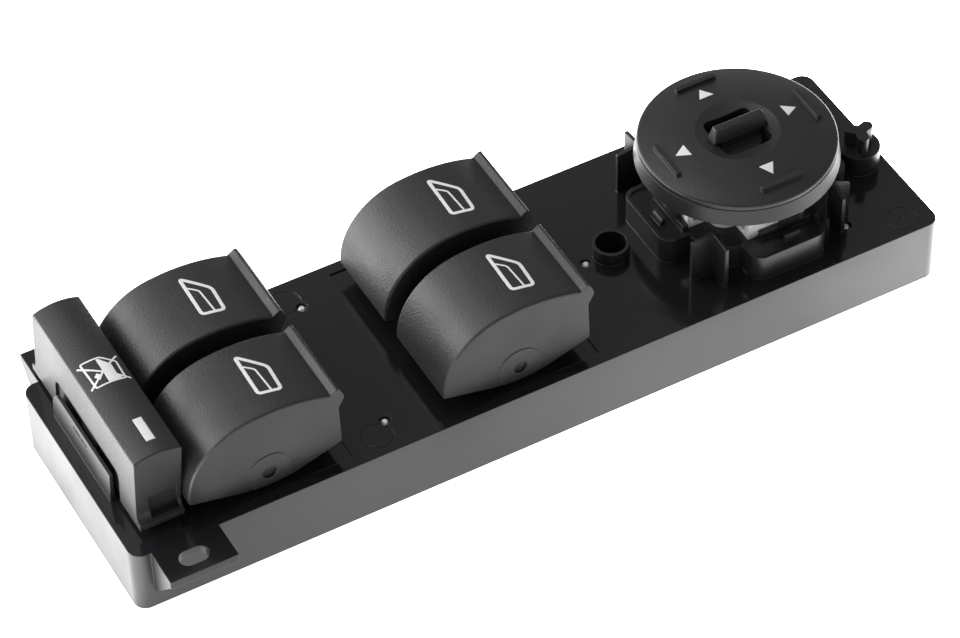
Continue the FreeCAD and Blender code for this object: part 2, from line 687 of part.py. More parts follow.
def cover_screws():
    """Five countersunk screws; their points show in small holes on top of the plate."""
    z0 = SCREW_LOW
    long_arm, short_arm, cross_depth = SCREW_CROSS
    screws = []
    for x, y in SCREW_PLACES:
        head = cone(SCREW_HEAD_R, SCREW_R, x, y, z0, z0 + SCREW_HEAD_HEIGHT)
        tip_z = HEIGHT - SCREW_TIP_BELOW
        shank = rod(SCREW_R, x, y, z0 + SCREW_HEAD_HEIGHT / 2, tip_z - SCREW_R / 2)
        tip = cone(SCREW_R, SCREW_R / 2, x, y, tip_z - SCREW_R / 2, tip_z)
        cross = [box(x - a, x + a, y - b, y + b, z0 - 1, z0 + cross_depth)
                 for a, b in ((long_arm, short_arm), (short_arm, long_arm))]
        screws.append(joined(head, shank, tip).cut(cross))
    return Part.makeCompound(screws)


def circuit_board():
    """The printed board, with holes for the screw bosses and the socket's pins."""
    x, y = INNER_X - BOARD_GAP, INNER_Y - BOARD_GAP
    board = slab(-x, x, -y, y, BOARD_UNDER, BOARD_TOP, CORNER_R - WALL)
    boss = SCREW_R + HOLE_CLEAR + BOSS_WALL + BOARD_GAP / 2
    cuts = [rod(boss, sx, sy, BOARD_UNDER - 1, BOARD_TOP + 1) for sx, sy in SCREW_PLACES]
    for px, py in pin_places():
        half = PIN_SIZE / 2 + HOLE_CLEAR
        cuts.append(box(px - half, px + half, py - half, py + half, BOARD_UNDER - 1, BOARD_TOP + 1))
    return board.cut(cuts)


def pin_places():
    """The socket's pins: two rows along X."""
    first = MID_X - PIN_PITCH * (PIN_COLUMNS - 1) / 2
    return [(first + PIN_PITCH * i, s * PIN_ROW_GAP / 2) for i in range(PIN_COLUMNS) for s in (-1, 1)]


def connector_socket():
    """The socket for the door's cable: a box under the board, open downwards."""
    hx, hy = SOCKET_LENGTH / 2, SOCKET_WIDTH / 2
    body = slab(MID_X - hx, MID_X + hx, -hy, hy, COVER_RECESS, BOARD_UNDER, SOCKET_R)
    wx, wy = hx - SOCKET_WALL, hy - SOCKET_WALL
    floor = BOARD_UNDER - SOCKET_FLOOR
    cuts = [box(MID_X - wx, MID_X + wx, -wy, wy, 0, floor)]
    way, depth = SOCKET_KEYWAY
    cuts.append(box(MID_X - way / 2, MID_X + way / 2, wy - 1, wy + depth, 0, floor))
    for px, py in pin_places():
        half = PIN_SIZE / 2 + HOLE_CLEAR
        cuts.append(box(px - half, px + half, py - half, py + half, 0, BOARD_UNDER + 1))
    return body.cut(cuts)


def connector_pins():
    """The socket's pins, soldered through the board."""
    z0 = BOARD_UNDER - SOCKET_FLOOR - PIN_INSIDE
    half = PIN_SIZE / 2
    return Part.makeCompound([box(x - half, x + half, y - half, y + half, z0, BOARD_TOP + PIN_ABOVE)
                              for x, y in pin_places()])


def key_shoulder_z():
    """Height of the rear shoulder's centre above the pivot, where its arc meets the crown's."""
    apart = KEY_CROWN_R - KEY_SHOULDER_R
    dx = KEY_SHOULDER_X - KEY_CROWN_X
    return KEY_CROWN_TOP - KEY_CROWN_R + math.sqrt(apart ** 2 - dx ** 2)


def key_outline(inset, low):
    """A key's side outline about its pivot, as arcs and lines; inset moves it inwards.

    The crown and the rear shoulder are two arcs that meet at a tangent.
    """
    crown_r, shoulder_r = KEY_CROWN_R - inset, KEY_SHOULDER_R - inset
    crown_z = KEY_CROWN_TOP - KEY_CROWN_R
    shoulder_z = key_shoulder_z()
    meet = math.atan2(shoulder_z - crown_z, KEY_SHOULDER_X - KEY_CROWN_X)
    front = KEY_FRONT - inset

    def on_shoulder(angle):
        return (KEY_SHOULDER_X + shoulder_r * math.cos(angle), shoulder_z + shoulder_r * math.sin(angle))

    def on_crown(x):
        return (x, crown_z + math.sqrt(crown_r ** 2 - (x - KEY_CROWN_X) ** 2))

    rear = on_shoulder(math.pi)
    join = on_shoulder(meet)
    top_front = on_crown(front)
    rear_low = (rear[0], low if inset else -KEY_REAR_LOW)
    items = [(rear_low, rear), (rear, on_shoulder((math.pi + meet) / 2), join),
             (join, on_crown((join[0] + front) / 2), top_front)]
    if inset:
        front_low = (front, low)
        items += [(top_front, front_low), (front_low, rear_low)]
        return items
    front_low = (front + KEY_FRONT_FLARE, KEY_FRONT_LOW)
    belly_front, belly_rear = (KEY_BELLY_HALF, -KEY_BELLY_EDGE), (-KEY_BELLY_HALF, -KEY_BELLY_EDGE)
    items += [(top_front, front_low), (front_low, belly_front),
              (belly_front, (0, -KEY_BELLY), belly_rear), (belly_rear, rear_low)]
    return items


def window_key(x, y):
    """One key: a curved shell with a finger lip, two pivot holes and two paddles inside."""
    y0, y1 = y - KEY_WIDTH / 2, y + KEY_WIDTH / 2

    def place_at(y_plane):
        return lambda px, pz: V(x + px, y_plane, KEY_ZS + pz)

    body = outline_solid(key_outline(0, 0), place_at(y0), V(0, KEY_WIDTH, 0))
    crown_z = KEY_CROWN_TOP - KEY_CROWN_R
    lip_x = KEY_FRONT - KEY_LIP_REACH
    lip_z = crown_z + math.sqrt(KEY_CROWN_R ** 2 - (lip_x - KEY_CROWN_X) ** 2)
    top = lip_z + KEY_LIP_RISE
    out = KEY_FRONT + KEY_LIP_REACH
    lip = [((lip_x, lip_z - 1), (lip_x, lip_z)), ((lip_x, lip_z), (lip_x + 1.1, top)),
           ((lip_x + 1.1, top), (lip_x + 1.6, top + 0.2), (lip_x + 2.1, top)),
           ((lip_x + 2.1, top), (out, lip_z - 1.2)),
           ((out, lip_z - 1.2), (out + 0.05, lip_z - 2.0), (out - 0.3, lip_z - 2.8)),
           ((out - 0.3, lip_z - 2.8), (KEY_FRONT, lip_z - KEY_LIP_DROP)),
           ((KEY_FRONT, lip_z - KEY_LIP_DROP), (lip_x, lip_z - KEY_LIP_DROP)),
           ((lip_x, lip_z - KEY_LIP_DROP), (lip_x, lip_z - 1))]
    body = joined(body, outline_solid(lip, place_at(y0), V(0, KEY_WIDTH, 0)))

    def is_crown_edge(e):
        if not isinstance(e.Curve, Part.Circle):
            return False
        return e.BoundBox.YLength < 1e-3 and e.BoundBox.ZMin > KEY_ZS and e.Curve.Radius > KEY_LIP_DROP

    body = round_edges(body, KEY_EDGE_R, is_crown_edge)
    inner_low = -KEY_BELLY - 1
    hollow = outline_solid(key_outline(KEY_TOP_WALL, inner_low), place_at(y - KEY_INNER_HALF),
                           V(0, 2 * KEY_INNER_HALF, 0))
    body = body.cut(hollow)
    adds = []
    for side in (-1, 1):
        face = y + side * KEY_WIDTH / 2
        sunk = V(x, face - side * JOIN, KEY_ZS)
        pad = Part.makeCylinder(KEY_PAD_R, KEY_PAD_RISE + JOIN, sunk, V(0, side, 0))
        trim = outline_solid(key_outline(0, 0), place_at(face - side * 0.2), V(0, side * 1.0, 0))
        adds.append(pad.common(trim))
    roof = KEY_CROWN_TOP - KEY_TOP_WALL / 2
    for px in (-PADDLE_X, PADDLE_X):
        wall = box(x + px - PADDLE_THICK / 2, x + px + PADDLE_THICK / 2, y - KEY_INNER_HALF - 0.2,
                   y + KEY_INNER_HALF + 0.2, KEY_ZS - PADDLE_LOW, KEY_ZS + roof)
        trim = outline_solid(key_outline(KEY_TOP_WALL / 2, inner_low), place_at(y0 + 0.5),
                             V(0, KEY_WIDTH - 1.0, 0))
        adds.append(wall.common(trim))
    body = joined(body, *adds)
    hole = Part.makeCylinder(PIVOT_R + PIVOT_CLEAR, KEY_WIDTH + 2, V(x, y0 - 1, KEY_ZS), V(0, 1, 0))
    return body.cut(hole)


def plunger(x, y, r, crown_tip):
    """A plunger with a stop flange below and a shallow crown on top."""
    flange = rod(PLUNGER_FLANGE_R, x, y, PLUNGER_STOP, PLUNGER_STOP + PLUNGER_FLANGE)
    stem = rod(r, x, y, PLUNGER_LOW, crown_tip)
    ball = Part.makeSphere(PLUNGER_CROWN_R, V(x, y, crown_tip - PLUNGER_CROWN_R))
    low_part = rod(r, x, y, PLUNGER_LOW, crown_tip - PLUNGER_CROWN_R / 2)
    return joined(flange, low_part, stem.common(ball))


def with_wells(sheets, r, places):
    """A rubber pad made of sheets, with a raised contact well for each plunger of radius r."""
    z = BOARD_TOP + CONTACT_SHEET
    rims = [cone(CONTACT_BASE_R, CONTACT_TOP_R, x, y, z, z + CONTACT_RISE) for x, y in places]
    floor, top = BOARD_TOP + CONTACT_FLOOR, z + CONTACT_RISE + 1
    wells = [rod(r + CONTACT_CLEAR, x, y, floor, top) for x, y in places]
    return joined(*sheets, *rims).cut(wells)


def key_contact_pad(x, y):
    """The rubber pad under one key, with a contact well for each plunger."""
    half = CONTACT_BASE_R + CONTACT_EDGE
    sheet = slab(x - PADDLE_X - half, x + PADDLE_X + half, y - half, y + half,
                 BOARD_TOP, BOARD_TOP + CONTACT_SHEET, CONTACT_BASE_R)
    return with_wells([sheet], PLUNGER_R, [(px, y) for way, px in plunger_places(x)])


def mirror_contact_pad():
    """The cross-shaped rubber pad under the mirror control, with four contact wells."""
    half = CONTACT_BASE_R + CONTACT_EDGE
    reach = PUSHER_AT + half
    z0, z1 = BOARD_TOP, BOARD_TOP + CONTACT_SHEET
    bars = [slab(MIRROR_X - reach, MIRROR_X + reach, -half, half, z0, z1, CONTACT_BASE_R),
            slab(MIRROR_X - half, MIRROR_X + half, -reach, reach, z0, z1, CONTACT_BASE_R)]
    return with_wells(bars, MIRROR_PLUNGER_R, [(x, y) for name, x, y in pusher_places()])


def lock_top(x):
    """Height of the lock button's arched top at x."""
    left, right = LOCK_LEFT + LOCK_LEFT_TAPER, LOCK_RIGHT
    half = (right - left) / 2
    r = (half ** 2 + LOCK_CROWN ** 2) / (2 * LOCK_CROWN)
    return LOCK_SIDE_Z + LOCK_CROWN - r + math.sqrt(r ** 2 - (x - (left + right) / 2) ** 2)


def lock_right(z):
    """X of the lock button's right side, which leans away from the rocking rear keys below."""
    swing = abs(key_shoulder_z()) * math.sin(math.radians(KEY_ANGLE))
    clear_x = REAR_KEY_X + KEY_SHOULDER_X - KEY_SHOULDER_R - swing - LOCK_KEY_GAP
    clear_z = KEY_ZS + key_shoulder_z() + LOCK_TRAVEL
    lean = max(0, LOCK_RIGHT - clear_x) / (LOCK_SIDE_Z - clear_z)
    return LOCK_RIGHT - lean * (LOCK_SIDE_Z - z)


def lock_section(left_inset, right_inset, top_drop, low):
    """The lock button's outline across X: two leaning sides and an arched top."""
    left_top, left_low = LOCK_LEFT + LOCK_LEFT_TAPER + left_inset, LOCK_LEFT + left_inset
    right, right_low = LOCK_RIGHT - right_inset, lock_right(low) - right_inset
    middle = (left_top + right) / 2
    z_left, z_right = lock_top(left_top) - top_drop, lock_top(right) - top_drop
    return [((left_low, low), (left_top, z_left)),
            ((left_top, z_left), (middle, lock_top(middle) - top_drop), (right, z_right)),
            ((right, z_right), (right_low, low)), ((right_low, low), (left_low, low))]


def lock_button():
    """The lock button's cap, with end skirts, side notch, end window and two guide legs."""
    body = outline_solid(lock_section(0, 0, 0, LOCK_LOW), lambda x, z: V(x, LOCK_NEAR, z),
                         V(0, LOCK_FAR - LOCK_NEAR, 0))

    def is_top_edge(e):
        b = e.BoundBox
        return b.ZMin > LOCK_SIDE_Z - 0.2

    body = round_edges(body, LOCK_EDGE_R, is_top_edge)
    long = outline_solid(lock_section(0, 0, 0, LOCK_LOW), lambda x, z: V(x, LOCK_NEAR - LOCK_SKIRT, z),
                         V(0, LOCK_FAR - LOCK_NEAR + 2 * LOCK_SKIRT, 0))
    for end, side in ((LOCK_NEAR, -1), (LOCK_FAR, 1)):
        z0, z1 = LOCK_LOW, LOCK_LOW + LOCK_SKIRT_THICK
        y_out = end + side * LOCK_SKIRT
        y_bend, z_bend = end + side * LOCK_SKIRT * 0.3, z1 + LOCK_SKIRT * 0.3
        items = [((end - side * 0.5, z0), (y_out, z0)), ((y_out, z0), (y_out, z1)),
                 ((y_out, z1), (y_bend, z_bend), (end, z1 + LOCK_SKIRT)),
                 ((end, z1 + LOCK_SKIRT), (end - side * 0.5, z1 + LOCK_SKIRT)),
                 ((end - side * 0.5, z1 + LOCK_SKIRT), (end - side * 0.5, z0))]
        skirt = outline_solid(items, lambda y, z: V(LOCK_LEFT, y, z), V(LOCK_RIGHT - LOCK_LEFT, 0, 0))
        body = joined(body, skirt.common(long))
    hollow = outline_solid(lock_section(LOCK_WALL, LOCK_KEY_WALL, LOCK_TOP_WALL, LOCK_LOW - 1),
                           lambda x, z: V(x, LOCK_NEAR + LOCK_WALL, z),
                           V(0, LOCK_FAR - LOCK_NEAR - 2 * LOCK_WALL, 0))
    body = body.cut(hollow)
    notch = box(LOCK_LEFT - 1, LOCK_LEFT + 1.5, LOCK_NOTCH[0], LOCK_NOTCH[1], LOCK_LOW - 3,
                HEIGHT + LOCK_NOTCH_TOP)
    notch = round_edges(notch, LOCK_NOTCH_R, lambda e: e.BoundBox.XLength > 1 and
                        e.BoundBox.ZMin > HEIGHT + LOCK_NOTCH_TOP - 0.1)
    kept = outline_solid(lock_section(LOCK_NOTCH_DEPTH, 0, 0, LOCK_LOW - 4),
                         lambda x, z: V(x, LOCK_NEAR, z), V(0, LOCK_FAR - LOCK_NEAR, 0))
    body = body.cut(notch.cut(kept))
    window = box(LOCK_LEFT + LOCK_WINDOW[0], LOCK_LEFT + LOCK_WINDOW[1],
                 LOCK_NEAR - 1, LOCK_NEAR + LOCK_WINDOW_DEPTH,
                 HEIGHT + LOCK_WINDOW_LOW, HEIGHT + LOCK_WINDOW_TOP)
    body = body.cut(window)
    legs = []
    for y in LOCK_LEG_YS:
        half = LOCK_LEG / 2
        leg = leg_opening(y, 0, lock_leg_low(), LOCK_SIDE_Z + LOCK_CROWN - LOCK_TOP_WALL / 2)
        barb_top = PLATE_UNDER - LOCK_LEG_CLEAR
        barb_side = ((half, barb_top), (half + LOCK_BARB, barb_top), (half, barb_top - LOCK_BARB_HEIGHT))
        barb = polygon_solid(barb_side, lambda x, z: V(LOCK_X + x, y - half, z), V(0, LOCK_LEG, 0))
        other = barb.mirror(V(LOCK_X, 0, 0), V(1, 0, 0))
        leg = leg.fuse([barb, other])
        legs.append(leg.cut(leg_opening(y, -LOCK_LEG_WALL, lock_leg_low() + LOCK_LEG_WALL,
                                        LOCK_SIDE_Z - LOCK_TOP_WALL)))
    seat_z = HEIGHT + SPRING_HEIGHT
    seat = rod(SPRING_R + SPRING_WIRE_R + 0.6, LOCK_X, SPRING_Y, seat_z,
               LOCK_SIDE_Z + LOCK_CROWN - LOCK_TOP_WALL / 2)
    body = joined(body, seat, *legs)
    return body.cut(light_block(HOLE_CLEAR, HEIGHT, LOCK_SIDE_Z + LOCK_CROWN + 1))


def lock_leg_low():
    """Underside of the lock button's legs at rest, clear of the switch when pressed."""
    return BOARD_TOP + SWITCH_HEIGHT + LOCK_TRAVEL + SWITCH_GAP


def light_block(grow, z0, z1):
    """A block on the light guide's outline, made larger all round by grow."""
    hx, hy = LIGHT_WIDTH / 2 + grow, LIGHT_LENGTH / 2 + grow
    return box(LIGHT_X - hx, LIGHT_X + hx, LIGHT_Y - hy, LIGHT_Y + hy, z0, z1)


def lock_light_guide():
    """The clear bar whose top end is the white indicator mark."""
    block = light_block(0, HEIGHT + LIGHT_LOW, LOCK_SIDE_Z + LOCK_CROWN + 1)
    arch = outline_solid(lock_section(0, 0, 0, LOCK_LOW - 2), lambda x, z: V(x, LOCK_NEAR, z),
                         V(0, LOCK_FAR - LOCK_NEAR, 0))
    return block.common(arch)


def lock_spring():
    """The coil spring between the plate and the lock button."""
    rise = SPRING_HEIGHT - 2 * SPRING_WIRE_R - 0.02
    path = Part.makeHelix(rise / SPRING_TURNS, rise, SPRING_R)
    start = path.Vertexes[0].Point
    ring = Part.Wire([Part.Circle(start, V(0, 1, 0), SPRING_WIRE_R).toShape()])
    coil = Part.Wire(path.Edges).makePipeShell([ring], True, True)
    coil.translate(V(LOCK_X, SPRING_Y, HEIGHT + SPRING_WIRE_R + 0.01))
    return coil


def lock_switch():
    """The small switch on the board under one leg of the lock button."""
    half = SWITCH_SIZE / 2
    y = LOCK_LEG_YS[0]
    top = BOARD_TOP + SWITCH_HEIGHT
    body = slab(LOCK_X - half, LOCK_X + half, y - half, y + half, BOARD_TOP, top, 0.8)
    return body.cut(rod(ACTUATOR_R + ACTUATOR_CLEAR, LOCK_X, y, BOARD_TOP + SWITCH_FLOOR, top + 1))


def lock_actuator():
    """The switch's own button, which goes down with the leg above it."""
    z0 = BOARD_TOP + SWITCH_FLOOR + LOCK_TRAVEL + 0.05
    return rod(ACTUATOR_R, LOCK_X, LOCK_LEG_YS[0], z0, lock_leg_low() - 0.1)


def mirror_carrier():
    """The white carrier on the tower: a cross-shaped floor, four upright arms, gimbal posts and guides."""
    z0 = LOBE_TOP
    z1 = z0 + CARRIER_FLOOR
    h, m, a = CARRIER_HALF, CARRIER_MIDDLE, CARRIER_ARM_HALF
    floor = slab(MIRROR_X - m, MIRROR_X + m, -m, m, z0, z1, CARRIER_R)
    adds, cuts = [], []
    for q in range(4):
        adds.append(quarter_box(-a, a, -h, 0, z0, z1, q))
        adds.append(quarter_box(-a, a, -h, -h + CARRIER_ARM_THICK, z0, z1 + CARRIER_ARM_RISE, q))
    for side in (-1, 1):
        x0, x1 = sorted((MIRROR_X + side * BEARING_NEAR, MIRROR_X + side * BEARING_FAR))
        head_z = GIMBAL_LEVEL
        adds.append(box(x0, x1, -BEARING_HALF, BEARING_HALF, z0, head_z))
        adds.append(Part.makeCylinder(BEARING_HALF, x1 - x0, V(x0, 0, head_z), V(1, 0, 0)))
        cuts.append(Part.makeCylinder(GIMBAL_PIN_R + GIMBAL_PIN_CLEAR, x1 - x0 + 2, V(x0 - 1, 0, head_z),
                                      V(1, 0, 0)))
    for name, x, y in pusher_places():
        r = MIRROR_PLUNGER_R + PLUNGER_CLEAR
        adds.append(rod(r + GUIDE_WALL, x, y, z0, z1 + MIRROR_GUIDE_RISE))
        cuts.append(rod(r, x, y, z0 - 1, z1 + MIRROR_GUIDE_RISE + 1))
    cuts.append(rod(CARRIER_HOLE_R, MIRROR_X, 0, z0 - 1, z1 + 1))
    return joined(floor, *adds).cut(cuts)


def gimbal_ring():
    """The ring between carrier and pad, with two pins along X and two along Y."""
    z0, z1 = GIMBAL_LEVEL - GIMBAL_HEIGHT / 2, GIMBAL_LEVEL + GIMBAL_HEIGHT / 2
    ring = rod(GIMBAL_OUT_R, MIRROR_X, 0, z0, z1)
    reach = BEARING_FAR - 0.2
    pins = [Part.makeCylinder(GIMBAL_PIN_R, 2 * reach, V(MIRROR_X - reach, 0, GIMBAL_LEVEL), V(1, 0, 0)),
            Part.makeCylinder(GIMBAL_PIN_R, 2 * reach, V(MIRROR_X, -reach, GIMBAL_LEVEL), V(0, 1, 0))]
    return joined(ring, *pins).cut(rod(GIMBAL_IN_R, MIRROR_X, 0, z0 - 1, z1 + 1))


def mirror_pad():
    """The round pad: domed top with a dish, square well, skirt, bearings and four pushers."""
    rim_z, crown_z = HEIGHT + PAD_RIM_Z, HEIGHT + PAD_CROWN_Z
    low = rim_z - PAD_SKIRT
    edge_r = PAD_R - PAD_EDGE_R * 0.7
    edge_z = rim_z + PAD_EDGE_R * 0.3
    groove_low, groove_deep = rim_z - PAD_GROOVE[0], PAD_GROOVE[1]
    groove_top = groove_low + groove_deep
    skirt_r = PAD_R + PAD_SKIRT_FLARE
    items = [((0, PAD_UNDER), (PAD_R - PAD_WALL, PAD_UNDER)),
             ((PAD_R - PAD_WALL, PAD_UNDER), (skirt_r - PAD_WALL, low)),
             ((skirt_r - PAD_WALL, low), (skirt_r, low)),
             ((skirt_r, low), (PAD_R, groove_low)),
             ((PAD_R, groove_low), (PAD_R - groove_deep, groove_low)),
             ((PAD_R - groove_deep, groove_low), (PAD_R - groove_deep, groove_top)),
             ((PAD_R - groove_deep, groove_top), (PAD_R, groove_top)),
             ((PAD_R, groove_top), (PAD_R, rim_z - PAD_EDGE_R * 0.7)),
             ((PAD_R, rim_z - PAD_EDGE_R * 0.7), (PAD_R - PAD_EDGE_R * 0.2, rim_z), (edge_r, edge_z)),
             ((edge_r, edge_z), (PAD_MID_R, HEIGHT + PAD_MID_Z), (DISH_R, crown_z)),
             ((DISH_R, crown_z), (DISH_MID_R, crown_z - DISH_MID_DEPTH), (0, crown_z - DISH_DEPTH)),
             ((0, crown_z - DISH_DEPTH), (0, PAD_UNDER))]
    edges = []
    for item in items:
        points = [V(MIRROR_X + r, 0, z) for r, z in item]
        curve = Part.Arc(*points) if len(points) == 3 else Part.LineSegment(*points)
        edges.append(curve.toShape())
    shell = Part.Face(Part.Wire(edges)).revolve(V(MIRROR_X, 0, 0), UP, 360)
    adds, cuts = [], []
    half = WELL_HALF + WELL_WALL
    adds.append(slab(MIRROR_X - half, MIRROR_X + half, -half, half, PAD_FLOOR - WELL_FLOOR,
                     PAD_UNDER + 0.5, WELL_R + WELL_WALL))
    cuts.append(slab(MIRROR_X - WELL_HALF, MIRROR_X + WELL_HALF, -WELL_HALF, WELL_HALF,
                     PAD_FLOOR, crown_z + 1, WELL_R))
    cuts.append(rod(KNOB_STEM_R + KNOB_CLEAR, MIRROR_X, 0, PAD_FLOOR - WELL_FLOOR - 1, PAD_FLOOR + 1))
    for side in (-1, 1):
        y0, y1 = sorted((side * BEARING_NEAR, side * BEARING_FAR))
        adds.append(box(MIRROR_X - BEARING_HALF, MIRROR_X + BEARING_HALF, y0, y1, GIMBAL_LEVEL,
                        PAD_UNDER + 0.5))
        adds.append(Part.makeCylinder(BEARING_HALF, y1 - y0, V(MIRROR_X, y0, GIMBAL_LEVEL), V(0, 1, 0)))
        cuts.append(Part.makeCylinder(GIMBAL_PIN_R + GIMBAL_PIN_CLEAR, y1 - y0 + 2,
                                      V(MIRROR_X, y0 - 1, GIMBAL_LEVEL), V(0, 1, 0)))
    for name, x, y in pusher_places():
        adds.append(rod(PUSHER_R, x, y, HEIGHT + PUSHER_LOW_Z, PAD_UNDER + 0.5))
    for q in range(4):
        bar = quarter_box(-PAD_BAR_LENGTH / 2, PAD_BAR_LENGTH / 2, -PAD_BAR_R - PAD_BAR_WIDTH / 2,
                          -PAD_BAR_R + PAD_BAR_WIDTH / 2, PAD_UNDER + 0.5, HEIGHT + PAD_BAR_TOP_Z, q)
        adds.append(bar)
    return joined(shell, *adds).cut(cuts)


def bar_section(half, thick, z):
    """One rectangle of the knob's bar, for a loft."""
    points = [V(MIRROR_X - half, -thick / 2, z), V(MIRROR_X + half, -thick / 2, z),
              V(MIRROR_X + half, thick / 2, z), V(MIRROR_X - half, thick / 2, z)]
    return Part.makePolygon(points + points[:1])


def selector_knob():
    """The knob that picks the left or right mirror: a bar on a disc, with a snap stem."""
    low = HEIGHT + BAR_LOW_Z
    bar = Part.makeLoft([bar_section(BAR_LOW_HALF, BAR_LOW_THICK, low),
                         bar_section(BAR_TOP_HALF, BAR_TOP_THICK, HEIGHT + BAR_TOP_Z)], True, True)
    bar = round_edges(bar, BAR_EDGE_R, lambda e: e.BoundBox.ZMax > low + 0.1)
    disc_z = PAD_FLOOR + KNOB_DISC_GAP
    neck = box(MIRROR_X - BAR_NECK_HALF, MIRROR_X + BAR_NECK_HALF, -BAR_LOW_THICK / 2, BAR_LOW_THICK / 2,
               disc_z, low + 0.3)
    disc = rod(KNOB_DISC_R, MIRROR_X, 0, disc_z, disc_z + KNOB_DISC)
    stem = rod(KNOB_STEM_R, MIRROR_X, 0, HEIGHT + KNOB_STEM_LOW_Z, disc_z + 0.1)
    snap_z = PAD_FLOOR - WELL_FLOOR - KNOB_DISC_GAP
    snap = cone(KNOB_STEM_R, KNOB_SNAP_R, MIRROR_X, 0, snap_z - KNOB_SNAP, snap_z)
    return joined(bar, neck, disc, stem, snap)


def board_lamps():
    """One lamp under each key and one under the lock button's light guide."""
    sx, sy, sz = LAMP_SIZE
    places = [(x, y + LAMP_SIDE) for name, x, y in key_places()] + [(LIGHT_X, LIGHT_Y)]
    return Part.makeCompound([box(x - sx / 2, x + sx / 2, y - sy / 2, y + sy / 2, BOARD_TOP, BOARD_TOP + sz)
                              for x, y in places])


def control_chip():
    """The control chip on the board."""
    half = CHIP_SIZE / 2
    x, y = RING_X + CHIP_X, -INNER_Y / 2
    return box(x - half, x + half, y - half, y + half, BOARD_TOP, BOARD_TOP + CHIP_HEIGHT)


parts = {
    "housing": housing(),
    "bottom_cover": bottom_cover(),
    "cover_screws": cover_screws(),
    "circuit_board": circuit_board(),
    "connector_socket": connector_socket(),
    "connector_pins": connector_pins(),
    "board_lamps": board_lamps(),
    "control_chip": control_chip(),
    "lock_button": lock_button(),
    "lock_light_guide": lock_light_guide(),
    "lock_spring": lock_spring(),
    "lock_switch": lock_switch(),
    "lock_actuator": lock_actuator(),
    "mirror_carrier": mirror_carrier(),
    "gimbal_ring": gimbal_ring(),
    "mirror_pad": mirror_pad(),
    "selector_knob": selector_knob(),
    "mirror_contact_pad": mirror_contact_pad(),
}
for key_name, key_x, key_y in key_places():
    parts["window_key_" + key_name] = window_key(key_x, key_y)
    parts["contact_pad_" + key_name] = key_contact_pad(key_x, key_y)
    for way, plunger_x in plunger_places(key_x):
        parts["plunger_" + key_name + "_" + way] = plunger(plunger_x, key_y, PLUNGER_R,
                                                            KEY_ZS - PADDLE_LOW - PLUNGER_GAP)
for way, pusher_x, pusher_y in pusher_places():
    parts["mirror_plunger_" + way] = plunger(pusher_x, pusher_y, MIRROR_PLUNGER_R,
                                             HEIGHT + PUSHER_LOW_Z - PLUNGER_GAP)

os.makedirs("parts", exist_ok=True)
for name, shape in parts.items():
    solids = len(shape.Solids)
    print(name, "solids", solids, "valid", shape.isValid(), "volume", round(shape.Volume, 1))
    shape.exportStep("parts/" + name + ".step")
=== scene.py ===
import json
import math
import bpy
import mathutils
import numpy as np
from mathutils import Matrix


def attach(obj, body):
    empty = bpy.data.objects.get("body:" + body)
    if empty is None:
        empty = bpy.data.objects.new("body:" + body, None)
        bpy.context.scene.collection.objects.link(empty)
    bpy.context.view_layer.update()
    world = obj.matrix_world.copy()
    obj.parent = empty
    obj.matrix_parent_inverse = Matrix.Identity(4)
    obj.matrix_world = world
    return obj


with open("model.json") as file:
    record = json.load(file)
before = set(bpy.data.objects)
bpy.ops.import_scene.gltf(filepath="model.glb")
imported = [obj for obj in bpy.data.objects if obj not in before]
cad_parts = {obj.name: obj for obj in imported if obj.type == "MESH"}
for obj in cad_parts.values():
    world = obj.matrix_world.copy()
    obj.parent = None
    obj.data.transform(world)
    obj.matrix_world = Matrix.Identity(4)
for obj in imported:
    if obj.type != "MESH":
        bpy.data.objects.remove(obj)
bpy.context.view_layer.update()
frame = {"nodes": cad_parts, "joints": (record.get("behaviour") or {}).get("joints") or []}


# Housing
# One injection moulding in black plastic: the top plate comes from a polished tool and is
# glossy, the rest has a fine moulded grain. It is screwed to the cover from below.
MM = 0.001
EDGE_RADIUS = 0.35 * MM
EDGE_SAMPLES = 4
GRAIN_SOFTNESS = 0.6
GRAIN_DETAIL = 3.0
GRAIN_NOISE_SHARE = 0.45
TONE_PER_METRE = 60.0
TONE_DETAIL = 4.0
TONE_SPREAD = (0.35, 0.65)
PLATE_LEVELS = (16.7 * MM, 17.3 * MM)
PLATE_FACES_UP = 0.95
PLATE_ROUGHNESS = 0.12
PLATE_GRAIN = 0.15


def set_inputs(tree, node, inputs):
    """Links each named or numbered input that is given another node's output, and sets each
    other one to the value that it is given."""
    for name, term in inputs.items():
        if isinstance(term, bpy.types.NodeSocket):
            tree.links.new(term, node.inputs[name])
        else:
            node.inputs[name].default_value = term


def add_node(tree, kind, inputs, **settings):
    """A new shader node; its settings come first, because they decide which inputs it has."""
    node = tree.nodes.new("ShaderNode" + kind)
    for name, value in settings.items():
        setattr(node, name, value)
    set_inputs(tree, node, inputs)
    return node


def ranged(tree, socket, spread, values):
    """Maps a socket linearly from a range to a range of values, clamped at both ends."""
    ends = dict(zip(("From Min", "From Max", "To Min", "To Max"), (*spread, *values)))
    return add_node(tree, "MapRange", {"Value": socket, **ends}).outputs["Result"]


def start_group(name, takes, gives):
    """A new node group that takes named numbers and gives named sockets, with its two ends."""
    group = bpy.data.node_groups.new(name, "ShaderNodeTree")
    for label in takes:
        group.interface.new_socket(label, in_out="INPUT", socket_type="NodeSocketFloat")
    for label, kind in gives:
        group.interface.new_socket(label, in_out="OUTPUT", socket_type="NodeSocket" + kind)
    return group, group.nodes.new("NodeGroupInput"), group.nodes.new("NodeGroupOutput")


